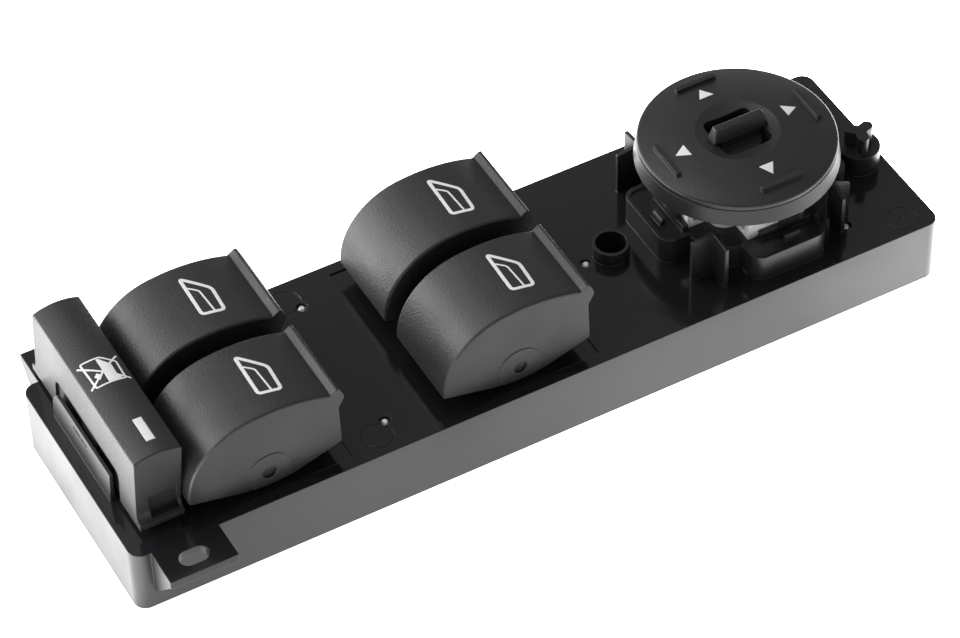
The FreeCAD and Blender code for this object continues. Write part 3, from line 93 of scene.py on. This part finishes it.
def edge_wear_and_highlight_group():
    """Mask of edges: one less the dot product of the true normal and the normal of a slightly
    rounded copy of the surface, times a gain. The rounded normal comes out as well."""
    group, given, result = start_group("edge wear", ("Radius", "Gain"),
                                       (("Mask", "Float"), ("Normal", "Vector")))
    rounded = add_node(group, "Bevel", {"Radius": given.outputs["Radius"]},
                       samples=EDGE_SAMPLES).outputs["Normal"]
    true = add_node(group, "NewGeometry", {}).outputs["Normal"]
    alike = add_node(group, "VectorMath", {0: rounded, 1: true}, operation="DOT_PRODUCT")
    away = add_node(group, "Math", {0: 1.0, 1: alike.outputs["Value"]}, operation="SUBTRACT")
    mask = add_node(group, "Math", {0: away.outputs[0], 1: given.outputs["Gain"]},
                    operation="MULTIPLY", use_clamp=True)
    set_inputs(group, result, {"Mask": mask.outputs[0], "Normal": rounded})
    return group


def moulded_grain_group():
    """Height of a leather-like tool grain: distances in a smoothed Voronoi pattern mixed with
    noise, both at the cells per metre given, and a slow tone that varies over centimetres."""
    group, given, result = start_group("moulded grain", ("Cells per metre",),
                                       (("Height", "Float"), ("Tone", "Float")))
    place = add_node(group, "TexCoord", {}).outputs["Object"]
    scale = given.outputs["Cells per metre"]
    cells = add_node(group, "TexVoronoi",
                     {"Vector": place, "Scale": scale, "Smoothness": GRAIN_SOFTNESS},
                     feature="SMOOTH_F1")
    noise = add_node(group, "TexNoise",
                     {"Vector": place, "Scale": scale, "Detail": GRAIN_DETAIL})
    slow = add_node(group, "TexNoise",
                    {"Vector": place, "Scale": TONE_PER_METRE, "Detail": TONE_DETAIL})
    height = add_node(group, "Mix", {"Factor": GRAIN_NOISE_SHARE, "A": cells.outputs["Distance"],
                                     "B": noise.outputs["Fac"]})
    set_inputs(group, result, {"Height": height.outputs["Result"], "Tone": slow.outputs["Fac"]})
    return group


# Edge mask that lightens the colour along edges: partly wear, partly a painted highlight
EDGE_WEAR_AND_HIGHLIGHT = edge_wear_and_highlight_group()
MOULDED_GRAIN = moulded_grain_group()


def start_material(name):
    """A new material, its node tree and its shader."""
    material = bpy.data.materials.new(name)
    material.use_nodes = True
    return material, material.node_tree, material.node_tree.nodes["Principled BSDF"]


def moulded_plastic(name, colour, worn_and_highlit, rough, cells, depth,
                    edge=EDGE_RADIUS, wear_and_highlight_gain=1.5, polish=None):
    """Moulded plastic: along convex and concave edges the colour goes to the lighter second
    colour, partly as wear and partly as a painted highlight; roughness follows the slow tone
    between the two values of rough, and the grain is a bump of the given depth on the rounded
    normal. Where a polish is given, it changes roughness and height first."""
    material, tree, shader = start_material(name)
    edges = add_node(tree, "Group", {"Radius": edge, "Gain": wear_and_highlight_gain}, node_tree=EDGE_WEAR_AND_HIGHLIGHT)
    grain = add_node(tree, "Group", {"Cells per metre": cells}, node_tree=MOULDED_GRAIN)
    # Lighter colour along convex and concave edges: partly wear, partly a painted highlight
    tint = add_node(tree, "Mix", {"Factor": edges.outputs["Mask"], "A": (*colour, 1.0),
                                  "B": (*worn_and_highlit, 1.0)}, data_type="RGBA")
    roughness = ranged(tree, grain.outputs["Tone"], TONE_SPREAD, rough)
    height = grain.outputs["Height"]
    if polish:
        roughness, height = polish(tree, roughness, height)
    bump = add_node(tree, "Bump", {"Strength": 1.0, "Distance": depth, "Height": height,
                                   "Normal": edges.outputs["Normal"]})
    set_inputs(tree, shader, {"Base Color": tint.outputs["Result"], "Roughness": roughness,
                              "Normal": bump.outputs["Normal"]})
    return material


def polished_plate(tree, roughness, height):
    """Polishes what looks up between two heights: the mask is the product of three steps, one
    on the normal's upward part and two on the height, and it draws roughness and grain down."""
    place = add_node(tree, "TexCoord", {})
    level = add_node(tree, "SeparateXYZ", {0: place.outputs["Object"]}).outputs["Z"]
    upward = add_node(tree, "SeparateXYZ", {0: place.outputs["Normal"]}).outputs["Z"]
    mask = add_node(tree, "Math", {0: upward, 1: PLATE_FACES_UP},
                    operation="GREATER_THAN").outputs[0]
    for operation, limit in zip(("GREATER_THAN", "LESS_THAN"), PLATE_LEVELS):
        step = add_node(tree, "Math", {0: level, 1: limit}, operation=operation).outputs[0]
        mask = add_node(tree, "Math", {0: mask, 1: step}, operation="MULTIPLY").outputs[0]
    smooth = add_node(tree, "Mix", {"Factor": mask, "A": roughness, "B": PLATE_ROUGHNESS})
    share = ranged(tree, mask, (0.0, 1.0), (1.0, PLATE_GRAIN))
    flat = add_node(tree, "Math", {0: height, 1: share}, operation="MULTIPLY")
    return smooth.outputs["Result"], flat.outputs[0]


def finish_nodes(material, *starts):
    """Gives a material to each CAD node whose name starts with one of the given words."""
    for name, node in frame["nodes"].items():
        if name.startswith(starts):
            slots = node.data.materials
            slots.clear()
            slots.append(material)


housing_plastic = moulded_plastic("housing plastic", colour=(0.012, 0.0125, 0.0135),
                                  worn_and_highlit=(0.05, 0.052, 0.055), rough=(0.30, 0.38),
                                  cells=2200.0, depth=0.012 * MM, polish=polished_plate)
finish_nodes(housing_plastic, "housing")


# Bottom cover, cable socket and board
# The cover is a grained moulding, the socket a smoother one, and the board behind them is
# glass-fibre sheet under a green lacquer with a chip, lamps and rubber contact pads on it.
BOARD_GREENS = ((0.01, 0.08, 0.03), (0.012, 0.11, 0.04))
BOARD_GAPS = (0.006, 0.05, 0.02)
# A lighter green and its share, mixed evenly over the board's colours as a painted sheen
BOARD_PAINTED_SHEEN = (0.02, 0.16, 0.06)
BOARD_PAINTED_SHEEN_SHARE = 0.15
BOARD_ROUGHNESS = 0.28
TRACKS_PER_METRE = 160.0
TRACK_EDGE = 0.04

cover_plastic = moulded_plastic("cover plastic", colour=(0.02, 0.02, 0.021),
                                worn_and_highlit=(0.08, 0.08, 0.08), rough=(0.42, 0.55),
                                cells=1500.0, depth=0.03 * MM)
socket_plastic = moulded_plastic("socket plastic", colour=(0.015, 0.015, 0.016),
                                 worn_and_highlit=(0.06, 0.06, 0.06), rough=(0.3, 0.4),
                                 cells=2500.0, depth=0.01 * MM)
contact_rubber = moulded_plastic("contact rubber", colour=(0.03, 0.03, 0.032),
                                 worn_and_highlit=(0.07, 0.07, 0.07), rough=(0.6, 0.75),
                                 cells=3000.0, depth=0.02 * MM)
chip_resin = moulded_plastic("chip resin", colour=(0.012, 0.012, 0.012),
                             worn_and_highlit=(0.05, 0.05, 0.05), rough=(0.45, 0.6),
                             cells=5000.0, depth=0.01 * MM)
lamp_resin = moulded_plastic("lamp resin", colour=(0.7, 0.66, 0.5),
                             worn_and_highlit=(0.8, 0.78, 0.7), rough=(0.3, 0.4),
                             cells=3000.0, depth=0.01 * MM)


def board_lacquer():
    """Green lacquer over copper: the bricks of a brick pattern stand for the tracks and its
    mortar for the gaps, with a share of a lighter green mixed evenly over both as a painted
    sheen."""
    material, tree, shader = start_material("board lacquer")
    place = add_node(tree, "TexCoord", {}).outputs["Object"]
    first, second = BOARD_GREENS
    tracks = add_node(tree, "TexBrick", {"Vector": place, "Scale": TRACKS_PER_METRE,
                                         "Mortar Size": TRACK_EDGE, "Color1": (*first, 1.0),
                                         "Color2": (*second, 1.0), "Mortar": (*BOARD_GAPS, 1.0)})
    tint = add_node(tree, "Mix", {"Factor": BOARD_PAINTED_SHEEN_SHARE, "A": tracks.outputs["Color"],
                                  "B": (*BOARD_PAINTED_SHEEN, 1.0)}, data_type="RGBA")
    set_inputs(tree, shader, {"Base Color": tint.outputs["Result"],
                              "Roughness": BOARD_ROUGHNESS})
    return material


finish_nodes(cover_plastic, "bottom_cover")
finish_nodes(socket_plastic, "connector_socket")
finish_nodes(board_lacquer(), "circuit_board")
finish_nodes(contact_rubber, "contact_pad_", "mirror_contact_pad")
finish_nodes(chip_resin, "control_chip", "lock_switch")
finish_nodes(lamp_resin, "board_lamps")


# Screws, pins and spring
# Plated steel screws whose bright points show in the plate, tinned socket pins, and the
# steel spring of the lock button.
METAL_DULL_SHARE = 0.75


def bare_metal(name, colour, rough, stretch):
    """Metal whose tint and roughness follow one noise, stretched along an axis as drawing or
    plating leaves it; stretch is the noise's scale along X, Y and Z."""
    material, tree, shader = start_material(name)
    place = add_node(tree, "TexCoord", {}).outputs["Object"]
    drawn = add_node(tree, "Mapping", {"Vector": place, "Scale": stretch}).outputs["Vector"]
    noise = add_node(tree, "TexNoise", {"Vector": drawn}).outputs["Fac"]
    dull = tuple(METAL_DULL_SHARE * part for part in colour)
    tint = add_node(tree, "Mix", {"Factor": noise, "A": (*dull, 1.0), "B": (*colour, 1.0)},
                    data_type="RGBA")
    set_inputs(tree, shader, {"Base Color": tint.outputs["Result"], "Metallic": 1.0,
                              "Roughness": ranged(tree, noise, (0.0, 1.0), rough)})
    return material


plated_screw = bare_metal("plated screw", colour=(0.93, 0.93, 0.91), rough=(0.35, 0.5),
                          stretch=(3000, 3000, 900))
tinned_pin = bare_metal("tinned pin", colour=(0.75, 0.68, 0.5), rough=(0.2, 0.35),
                        stretch=(4000, 4000, 300))
spring_wire = bare_metal("spring wire", colour=(0.55, 0.55, 0.57), rough=(0.25, 0.4),
                         stretch=(4000, 4000, 4000))
finish_nodes(plated_screw, "cover_screws")
finish_nodes(tinned_pin, "connector_pins")
finish_nodes(spring_wire, "lock_spring")


# White acetal pieces
# The mirror control's carrier, the gimbal ring, all plungers and the lock switch's actuator
# are moulded in natural acetal, which is a slightly waxy white.
acetal = moulded_plastic("acetal", colour=(0.84, 0.84, 0.82), worn_and_highlit=(0.9, 0.9, 0.88),
                         rough=(0.32, 0.45), cells=1800.0, depth=0.008 * MM, wear_and_highlight_gain=0.6)
finish_nodes(acetal, "plunger_", "mirror_plunger_", "mirror_carrier", "gimbal_ring",
             "lock_actuator")


# Window keys
# Four alike mouldings in grained black plastic, each rocking on two stub pins. The white
# pictogram of a door window is printed on the crown.
KEYS = ("front_left", "front_right", "rear_left", "rear_right")
KEY_CROWN_R = 39.5 * MM
KEY_CROWN_X = 1.7 * MM
KEY_CROWN_TOP = 18.2 * MM
# X and Y of the pictogram's points from the pivot, in mm
WINDOW_CORNERS = ((1.9, 7.1), (7.1, 1.6), (6.7, -5.7), (1.6, -5.0))
WINDOW_CORNER_R = 0.9 * MM
WINDOW_DIVIDER = ((2.2, 3.7), (4.2, 1.9), (4.6, -5.2))
WINDOW_DIVIDER_R = 0.6 * MM
PICTOGRAM_LINE = 0.85 * MM
DIVIDER_LINE = 0.45 * MM
PRINT_LIFT = 0.03 * MM
PRINT_WHITES = ((0.76, 0.76, 0.75), (0.92, 0.92, 0.91))
PRINT_ROUGHNESS = (0.45, 0.6)
PRINT_CELLS = 2500.0
# Section of a printed line: places as shares of its width, heights as shares of PRINT_LIFT
LINE_PLACES = np.array([-0.5, -0.44, 0.44, 0.5])
LINE_HEIGHTS = np.array([-0.5, 1.0, 1.0, -0.5])

key_plastic = moulded_plastic("key plastic", colour=(0.017, 0.0175, 0.0185),
                              worn_and_highlit=(0.06, 0.062, 0.065), rough=(0.40, 0.52),
                              cells=2000.0, depth=0.085 * MM, edge=0.3 * MM, wear_and_highlight_gain=1.2)
finish_nodes(key_plastic, "window_key_")


def screen_print():
    """White screen print: one fine noise moves its colour and its roughness a little."""
    material, tree, shader = start_material("screen print")
    place = add_node(tree, "TexCoord", {}).outputs["Object"]
    noise = add_node(tree, "TexNoise", {"Vector": place, "Scale": PRINT_CELLS}).outputs["Fac"]
    thin, full = PRINT_WHITES
    tint = add_node(tree, "Mix", {"Factor": noise, "A": (*thin, 1.0), "B": (*full, 1.0)},
                    data_type="RGBA")
    set_inputs(tree, shader, {"Base Color": tint.outputs["Result"],
                              "Roughness": ranged(tree, noise, (0.0, 1.0), PRINT_ROUGHNESS)})
    return material


printed_white = screen_print()


def quads(order):
    """Faces between neighbours in a grid of point numbers, each from one point along its
    row, across to the next row and back."""
    return np.stack([order[:-1, :-1], order[:-1, 1:], order[1:, 1:], order[1:, :-1]],
                    axis=2).reshape(-1, 4)


def add_mesh(name, points, faces, material):
    """A new object at the origin from an array of points and an array of faces."""
    mesh = bpy.data.meshes.new(name)
    mesh.from_pydata(points.tolist(), [], faces.tolist())
    mesh.validate()
    mesh.update()
    mesh.materials.append(material)
    piece = bpy.data.objects.new(name, mesh)
    bpy.context.scene.collection.objects.link(piece)
    return piece


def add_print(name, x, y, z, faces, body):
    """A printed mark in white from grids of coordinates, which moves with a body."""
    points = np.stack([x, y, z], axis=2).reshape(-1, 3)
    piece = add_mesh(name, points, faces, printed_white)
    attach(piece, body)


def rounded_path(corners, radius, closed, steps=6):
    """Corners in millimetres, with each one replaced by points of the quadratic curve that
    starts and ends radius away from it along its two sides. An open path keeps its ends."""
    corners = np.array(corners, float) * MM
    to_before = np.roll(corners, 1, axis=0) - corners
    to_after = np.roll(corners, -1, axis=0) - corners
    start = corners + to_before * (radius / np.linalg.norm(to_before, axis=1))[:, None]
    end = corners + to_after * (radius / np.linalg.norm(to_after, axis=1))[:, None]
    t = np.linspace(0, 1, steps)[None, :, None]
    start, middle, end = start[:, None], corners[:, None], end[:, None]
    curve = (1 - t) ** 2 * start + 2 * t * (1 - t) * middle + t ** 2 * end
    if closed:
        return curve.reshape(-1, 2)
    return np.concatenate([corners[:1], curve[1:-1].reshape(-1, 2), corners[-1:]])


def printed_line(name, path, width, surface, body, closed=False, shift=(0.0, 0.0), splits=3):
    """A printed line: each stretch of the path is divided, each point is moved to both sides
    along the path's normal by shares of the width, and laid on the surface with thin edges."""
    path = path + np.array(shift)
    t = np.linspace(0, 1, splits, endpoint=False)[None, :, None]
    if closed:
        after = np.roll(path, -1, axis=0)
        path = (path[:, None] + (after - path)[:, None] * t).reshape(-1, 2)
        ahead = np.roll(path, -1, axis=0) - np.roll(path, 1, axis=0)
    else:
        fine = path[:-1, None] + (path[1:] - path[:-1])[:, None] * t
        path = np.concatenate([fine.reshape(-1, 2), path[-1:]])
        ahead = np.gradient(path, axis=0)
    aside = np.stack([-ahead[:, 1], ahead[:, 0]], axis=1)
    aside /= np.linalg.norm(ahead, axis=1)[:, None]
    flat = path[:, None] + aside[:, None] * (LINE_PLACES * width)[None, :, None]
    x, y = flat[..., 0], flat[..., 1]
    order = np.arange(x.size).reshape(x.shape)
    if closed:
        order = np.concatenate([order, order[:1]])
    z = surface(x, y) + LINE_HEIGHTS * PRINT_LIFT
    add_print(name, x, y, z, quads(order[:, ::-1].T), body)


def key_crown(pivot):
    """Height of a key's crown: a circular arc about a centre far below the pivot."""
    def height(x, y):
        return (pivot[2] + KEY_CROWN_TOP - KEY_CROWN_R
                + np.sqrt(KEY_CROWN_R ** 2 - (x - pivot[0] - KEY_CROWN_X) ** 2))
    return height


joints = {joint["name"]: joint for joint in frame["joints"]}
window_outline = rounded_path(WINDOW_CORNERS, WINDOW_CORNER_R, closed=True)
window_divider = rounded_path(WINDOW_DIVIDER, WINDOW_DIVIDER_R, closed=False)
for key in KEYS:
    pivot = joints["key_" + key + "_rock"]["pos_m"]
    printed_line("pictogram_" + key, window_outline, PICTOGRAM_LINE, key_crown(pivot),
                 "key_" + key, closed=True, shift=pivot[:2])
    printed_line("pictogram_divider_" + key, window_divider, DIVIDER_LINE, key_crown(pivot),
                 "key_" + key, shift=pivot[:2])


# Lock button
# A narrow cap in the keys' plastic over two legs and a spring. The end of a milky light
# guide shows as a white mark, and a crossed-out window is printed beside it.
LOCK_TOP_LEFT = -97.2 * MM
LOCK_TOP_RIGHT = -85.9 * MM
LOCK_CROWN = 1.2 * MM
LOCK_SIDE_TOP = 37.2 * MM
# X and Y of the pictogram's points, in mm
LOCK_WINDOW = ((-94.9, 9.9), (-90.4, 9.75), (-87.5, 7.3), (-87.7, 1.9), (-94.6, 1.95))
LOCK_WINDOW_R = 0.4 * MM
LOCK_CROSSES = (((-96.0, 9.25), (-86.65, 1.5)), ((-95.8, 2.0), (-86.75, 9.0)))
LOCK_LINE = 0.45 * MM
LOCK_CROSS_LINE = 0.5 * MM
PANE_LEFT = ((-91.4, 9.6), (-91.65, 2.0))
PANE_RIGHT = ((-90.9, 9.6), (-88.75, 6.9), (-88.8, 3.6), (-87.9, 2.0))
ARROW_LEFT = ((-92.9, 5.7), (-93.8, 4.9), (-92.95, 3.6))
ARROW_RIGHT = ((-92.8, 5.7), (-91.9, 4.6), (-92.85, 3.6))
AREA_ROWS, AREA_COLUMNS = 17, 9
AREA_HEIGHTS = (-0.5, 0.9)

guide_resin = moulded_plastic("light guide resin", colour=(0.84, 0.84, 0.83),
                              worn_and_highlit=(0.9, 0.9, 0.89), rough=(0.3, 0.42),
                              cells=2500.0, depth=0.006 * MM, wear_and_highlight_gain=0.3)
finish_nodes(key_plastic, "lock_button")
finish_nodes(guide_resin, "lock_light_guide")


def lock_crown(x, y):
    """Height of the button's top: an arc across X through both side edges and the crown."""
    half = (LOCK_TOP_RIGHT - LOCK_TOP_LEFT) / 2
    r = (half ** 2 + LOCK_CROWN ** 2) / (2 * LOCK_CROWN)
    return LOCK_SIDE_TOP + LOCK_CROWN - r + np.sqrt(r ** 2 - (x - LOCK_TOP_LEFT - half) ** 2)


def printed_area(name, left, right, surface, body):
    """A printed area between two lines that run down Y: both are read at even steps of Y, each
    row's points are spread evenly between them and laid on the surface, lower at the border."""
    left, right = np.array(left[::-1]) * MM, np.array(right[::-1]) * MM
    y = np.linspace(left[0, 1], left[-1, 1], AREA_ROWS)
    start = np.interp(y, left[:, 1], left[:, 0])[:, None]
    end = np.interp(y, right[:, 1], right[:, 0])[:, None]
    x = start + (end - start) * np.linspace(0, 1, AREA_COLUMNS)[None, :]
    y = np.repeat(y[:, None], AREA_COLUMNS, axis=1)
    border = np.ones(x.shape, bool)
    border[1:-1, 1:-1] = False
    z = surface(x, y) + np.where(border, *AREA_HEIGHTS) * PRINT_LIFT
    add_print(name, x, y, z, quads(np.arange(x.size).reshape(x.shape)), body)


printed_line("lock_pictogram", rounded_path(LOCK_WINDOW, LOCK_WINDOW_R, closed=True), LOCK_LINE,
             lock_crown, "lock", closed=True, splits=8)
for number, stroke in enumerate(LOCK_CROSSES):
    printed_line("lock_cross_" + str(number), np.array(stroke) * MM, LOCK_CROSS_LINE,
                 lock_crown, "lock", splits=16)
printed_area("lock_pictogram_pane", PANE_LEFT, PANE_RIGHT, lock_crown, "lock")
printed_area("lock_pictogram_arrow", ARROW_LEFT, ARROW_RIGHT, lock_crown, "lock")


# Mirror pad and knob
# A domed disc in black plastic that tilts on a gimbal, with four raised bars and four printed
# arrowheads, and in its dish the knob that picks the mirror.
# Distance from the axis and height of three points on the dome, in mm
PAD_PROFILE = ((9.75, 40.05), (14.0, 39.65), (22.39, 38.24))
PAD_MIDDLE_X = joints["selector_turn"]["pos_m"][0]
ARROW_BASE = 12.8 * MM
ARROW_TIP = 15.9 * MM
ARROW_WIDTH = 3.75 * MM
ARROW_TAPER = 0.97
ARROW_SHIFT = (-0.25 * MM, 0.3 * MM)
ARROW_ROWS, ARROW_COLUMNS = 9, 7
ARROW_HEIGHTS = (0.2, 1.0)

pad_plastic = moulded_plastic("pad plastic", colour=(0.017, 0.0175, 0.0185),
                              worn_and_highlit=(0.07, 0.072, 0.075), rough=(0.30, 0.40),
                              cells=2600.0, depth=0.035 * MM, edge=0.3 * MM, wear_and_highlight_gain=1.2)
finish_nodes(pad_plastic, "mirror_pad", "selector_knob")


def pad_dome(x, y):
    """Height of the pad's dome: the circle through three points of its profile, about Z."""
    (r0, z0), (r1, z1), (r2, z2) = np.array(PAD_PROFILE) * MM
    a = np.array([[r1 - r0, z1 - z0], [r2 - r0, z2 - z0]]) * 2
    b = np.array([r1 ** 2 - r0 ** 2 + z1 ** 2 - z0 ** 2, r2 ** 2 - r0 ** 2 + z2 ** 2 - z0 ** 2])
    centre_r, centre_z = np.linalg.solve(a, b)
    radius = math.hypot(r0 - centre_r, z0 - centre_z)
    reach = np.hypot(x - PAD_MIDDLE_X, y)
    return centre_z + np.sqrt(radius ** 2 - (reach - centre_r) ** 2)


def arrowhead(name, angle):
    """A triangle that points away from the pad's middle: rows of points narrow evenly from
    base to tip, are turned by the angle and laid on the dome, lower at the border."""
    t, s = np.meshgrid(np.linspace(0, 1, ARROW_ROWS), np.linspace(-0.5, 0.5, ARROW_COLUMNS),
                       indexing="ij")
    out = ARROW_BASE + (ARROW_TIP - ARROW_BASE) * t
    side = s * ARROW_WIDTH * (1 - ARROW_TAPER * t)
    x = PAD_MIDDLE_X + ARROW_SHIFT[0] + out * math.cos(angle) - side * math.sin(angle)
    y = ARROW_SHIFT[1] + out * math.sin(angle) + side * math.cos(angle)
    border = np.ones(x.shape, bool)
    border[1:-1, 1:-1] = False
    z = pad_dome(x, y) + np.where(border, *ARROW_HEIGHTS) * PRINT_LIFT
    add_print(name, x, y, z, quads(np.arange(x.size).reshape(x.shape).T), "pad")


for number in range(4):
    arrowhead("pad_arrow_" + str(number), number * math.pi / 2)


# Floor, light and camera
# A white light table under the object, which its walls mirror, soft boxes at the left and
# behind, a weak one in front, and the camera of the photograph.
FLOOR_SIZE = 6.0
FLOOR_WHITE = (0.9, 0.9, 0.9)
FLOOR_ROUGHNESS = 0.8
WHITE_LIGHT = (1.0, 1.0, 1.0, 1.0)
# The table's glow along X: its two ends, then the strength at shares of the way between them
GLOW_PLACES = (-0.11, 0.11)
GLOW_CURVE = ((0.0, 1.3), (0.23, 1.7), (0.44, 1.9), (0.62, 2.6), (0.80, 2.9), (0.96, 4.9))
GLOW_TOP = 5.0
# Ramps between two places: along Y a share of the glow, along X strength that is added to it
FRONT_FADE = ((-0.042, -0.056), (1.0, 0.3))
LEFT_STRIP = ((-0.100, -0.106), (0.0, 1.65))
FAR_LEFT = ((-0.118, -0.150), (0.0, 4.6))
# Each box's name, place, width and height, and power in watts
SOFT_BOXES = (("left box", (-0.75, 0.45, 0.38), (1.2, 0.7), 12.0),
              ("back box", (-0.2, 0.75, 1.33), (0.7, 0.9), 5.0),
              ("front fill", (0.5, -1.2, 0.7), (0.9, 0.6), 0.3))
BOX_TARGET = (0, 0, 0.03)
WORLD_GLOW = 0.32
CAMERA_PLACE = (-0.29479, -0.55243, 0.66436)
CAMERA_AZIMUTH = 27.894
CAMERA_ELEVATION = 46.172
CAMERA_ROLL = -1.523
CAMERA_LENS = 149.93
CAMERA_SENSOR = 36.0


def light_table():
    """A wide sheet whose emission is a curve along X that fades in front of the object, plus
    two ramps beyond the left end, one strong strip close by and a wide one farther out."""
    half = FLOOR_SIZE / 2
    points = np.array([[-half, -half, 0], [half, -half, 0], [half, half, 0], [-half, half, 0]])
    material, tree, shader = start_material("light table")
    place = add_node(tree, "TexCoord", {}).outputs["Object"]
    point = add_node(tree, "SeparateXYZ", {0: place})
    along = ranged(tree, point.outputs["X"], GLOW_PLACES, (0.0, 1.0))
    curve = add_node(tree, "ValToRGB", {"Fac": along})
    stops = curve.color_ramp.elements
    while len(stops) < len(GLOW_CURVE):
        stops.new(1.0)
    for stop, (where, strength) in zip(stops, GLOW_CURVE):
        stop.position = where
        stop.color = (strength / GLOW_TOP,) * 3 + (1.0,)
    span, shares = FRONT_FADE
    fade = ranged(tree, point.outputs["Y"], span, [GLOW_TOP * share for share in shares])
    glow = add_node(tree, "Math", {0: curve.outputs["Color"], 1: fade}, operation="MULTIPLY")
    for ramp in (LEFT_STRIP, FAR_LEFT):
        more = ranged(tree, point.outputs["X"], *ramp)
        glow = add_node(tree, "Math", {0: glow.outputs[0], 1: more}, operation="ADD")
    set_inputs(tree, shader, {"Base Color": (*FLOOR_WHITE, 1.0), "Roughness": FLOOR_ROUGHNESS,
                              "Emission Color": WHITE_LIGHT,
                              "Emission Strength": glow.outputs[0]})
    floor = add_mesh("floor", points, np.array([[0, 1, 2, 3]]), material)


def soft_box(name, place, size, power):
    """A rectangular lamp at place that faces the middle of the object."""
    lamp = bpy.data.lights.new(name, "AREA")
    lamp.shape = "RECTANGLE"
    lamp.size, lamp.size_y = size
    lamp.energy = power
    holder = bpy.data.objects.new(name, lamp)
    holder.location = place
    aim = mathutils.Vector(BOX_TARGET) - mathutils.Vector(place)
    holder.rotation_euler = aim.to_track_quat("-Z", "Y").to_euler()
    bpy.context.scene.collection.objects.link(holder)


def photo_camera():
    """The photograph's camera: turned about Z, tipped down from level, then rolled."""
    data = bpy.data.cameras.new("photo camera")
    data.lens = CAMERA_LENS
    data.sensor_width = CAMERA_SENSOR
    camera = bpy.data.objects.new("photo camera", data)
    turn = mathutils.Matrix.Rotation(math.radians(-CAMERA_AZIMUTH), 4, "Z")
    tip = mathutils.Matrix.Rotation(math.radians(90 - CAMERA_ELEVATION), 4, "X")
    roll = mathutils.Matrix.Rotation(math.radians(CAMERA_ROLL), 4, "Z")
    camera.matrix_world = mathutils.Matrix.Translation(CAMERA_PLACE) @ turn @ tip @ roll
    bpy.context.scene.collection.objects.link(camera)
    bpy.context.scene.camera = camera


light_table()
for box in SOFT_BOXES:
    soft_box(*box)
world = bpy.data.worlds.new("studio")
world.use_nodes = True
set_inputs(world.node_tree, world.node_tree.nodes["Background"],
           {"Color": WHITE_LIGHT, "Strength": WORLD_GLOW})
bpy.context.scene.world = world
bpy.context.scene.view_settings.view_transform = "Standard"
photo_camera()
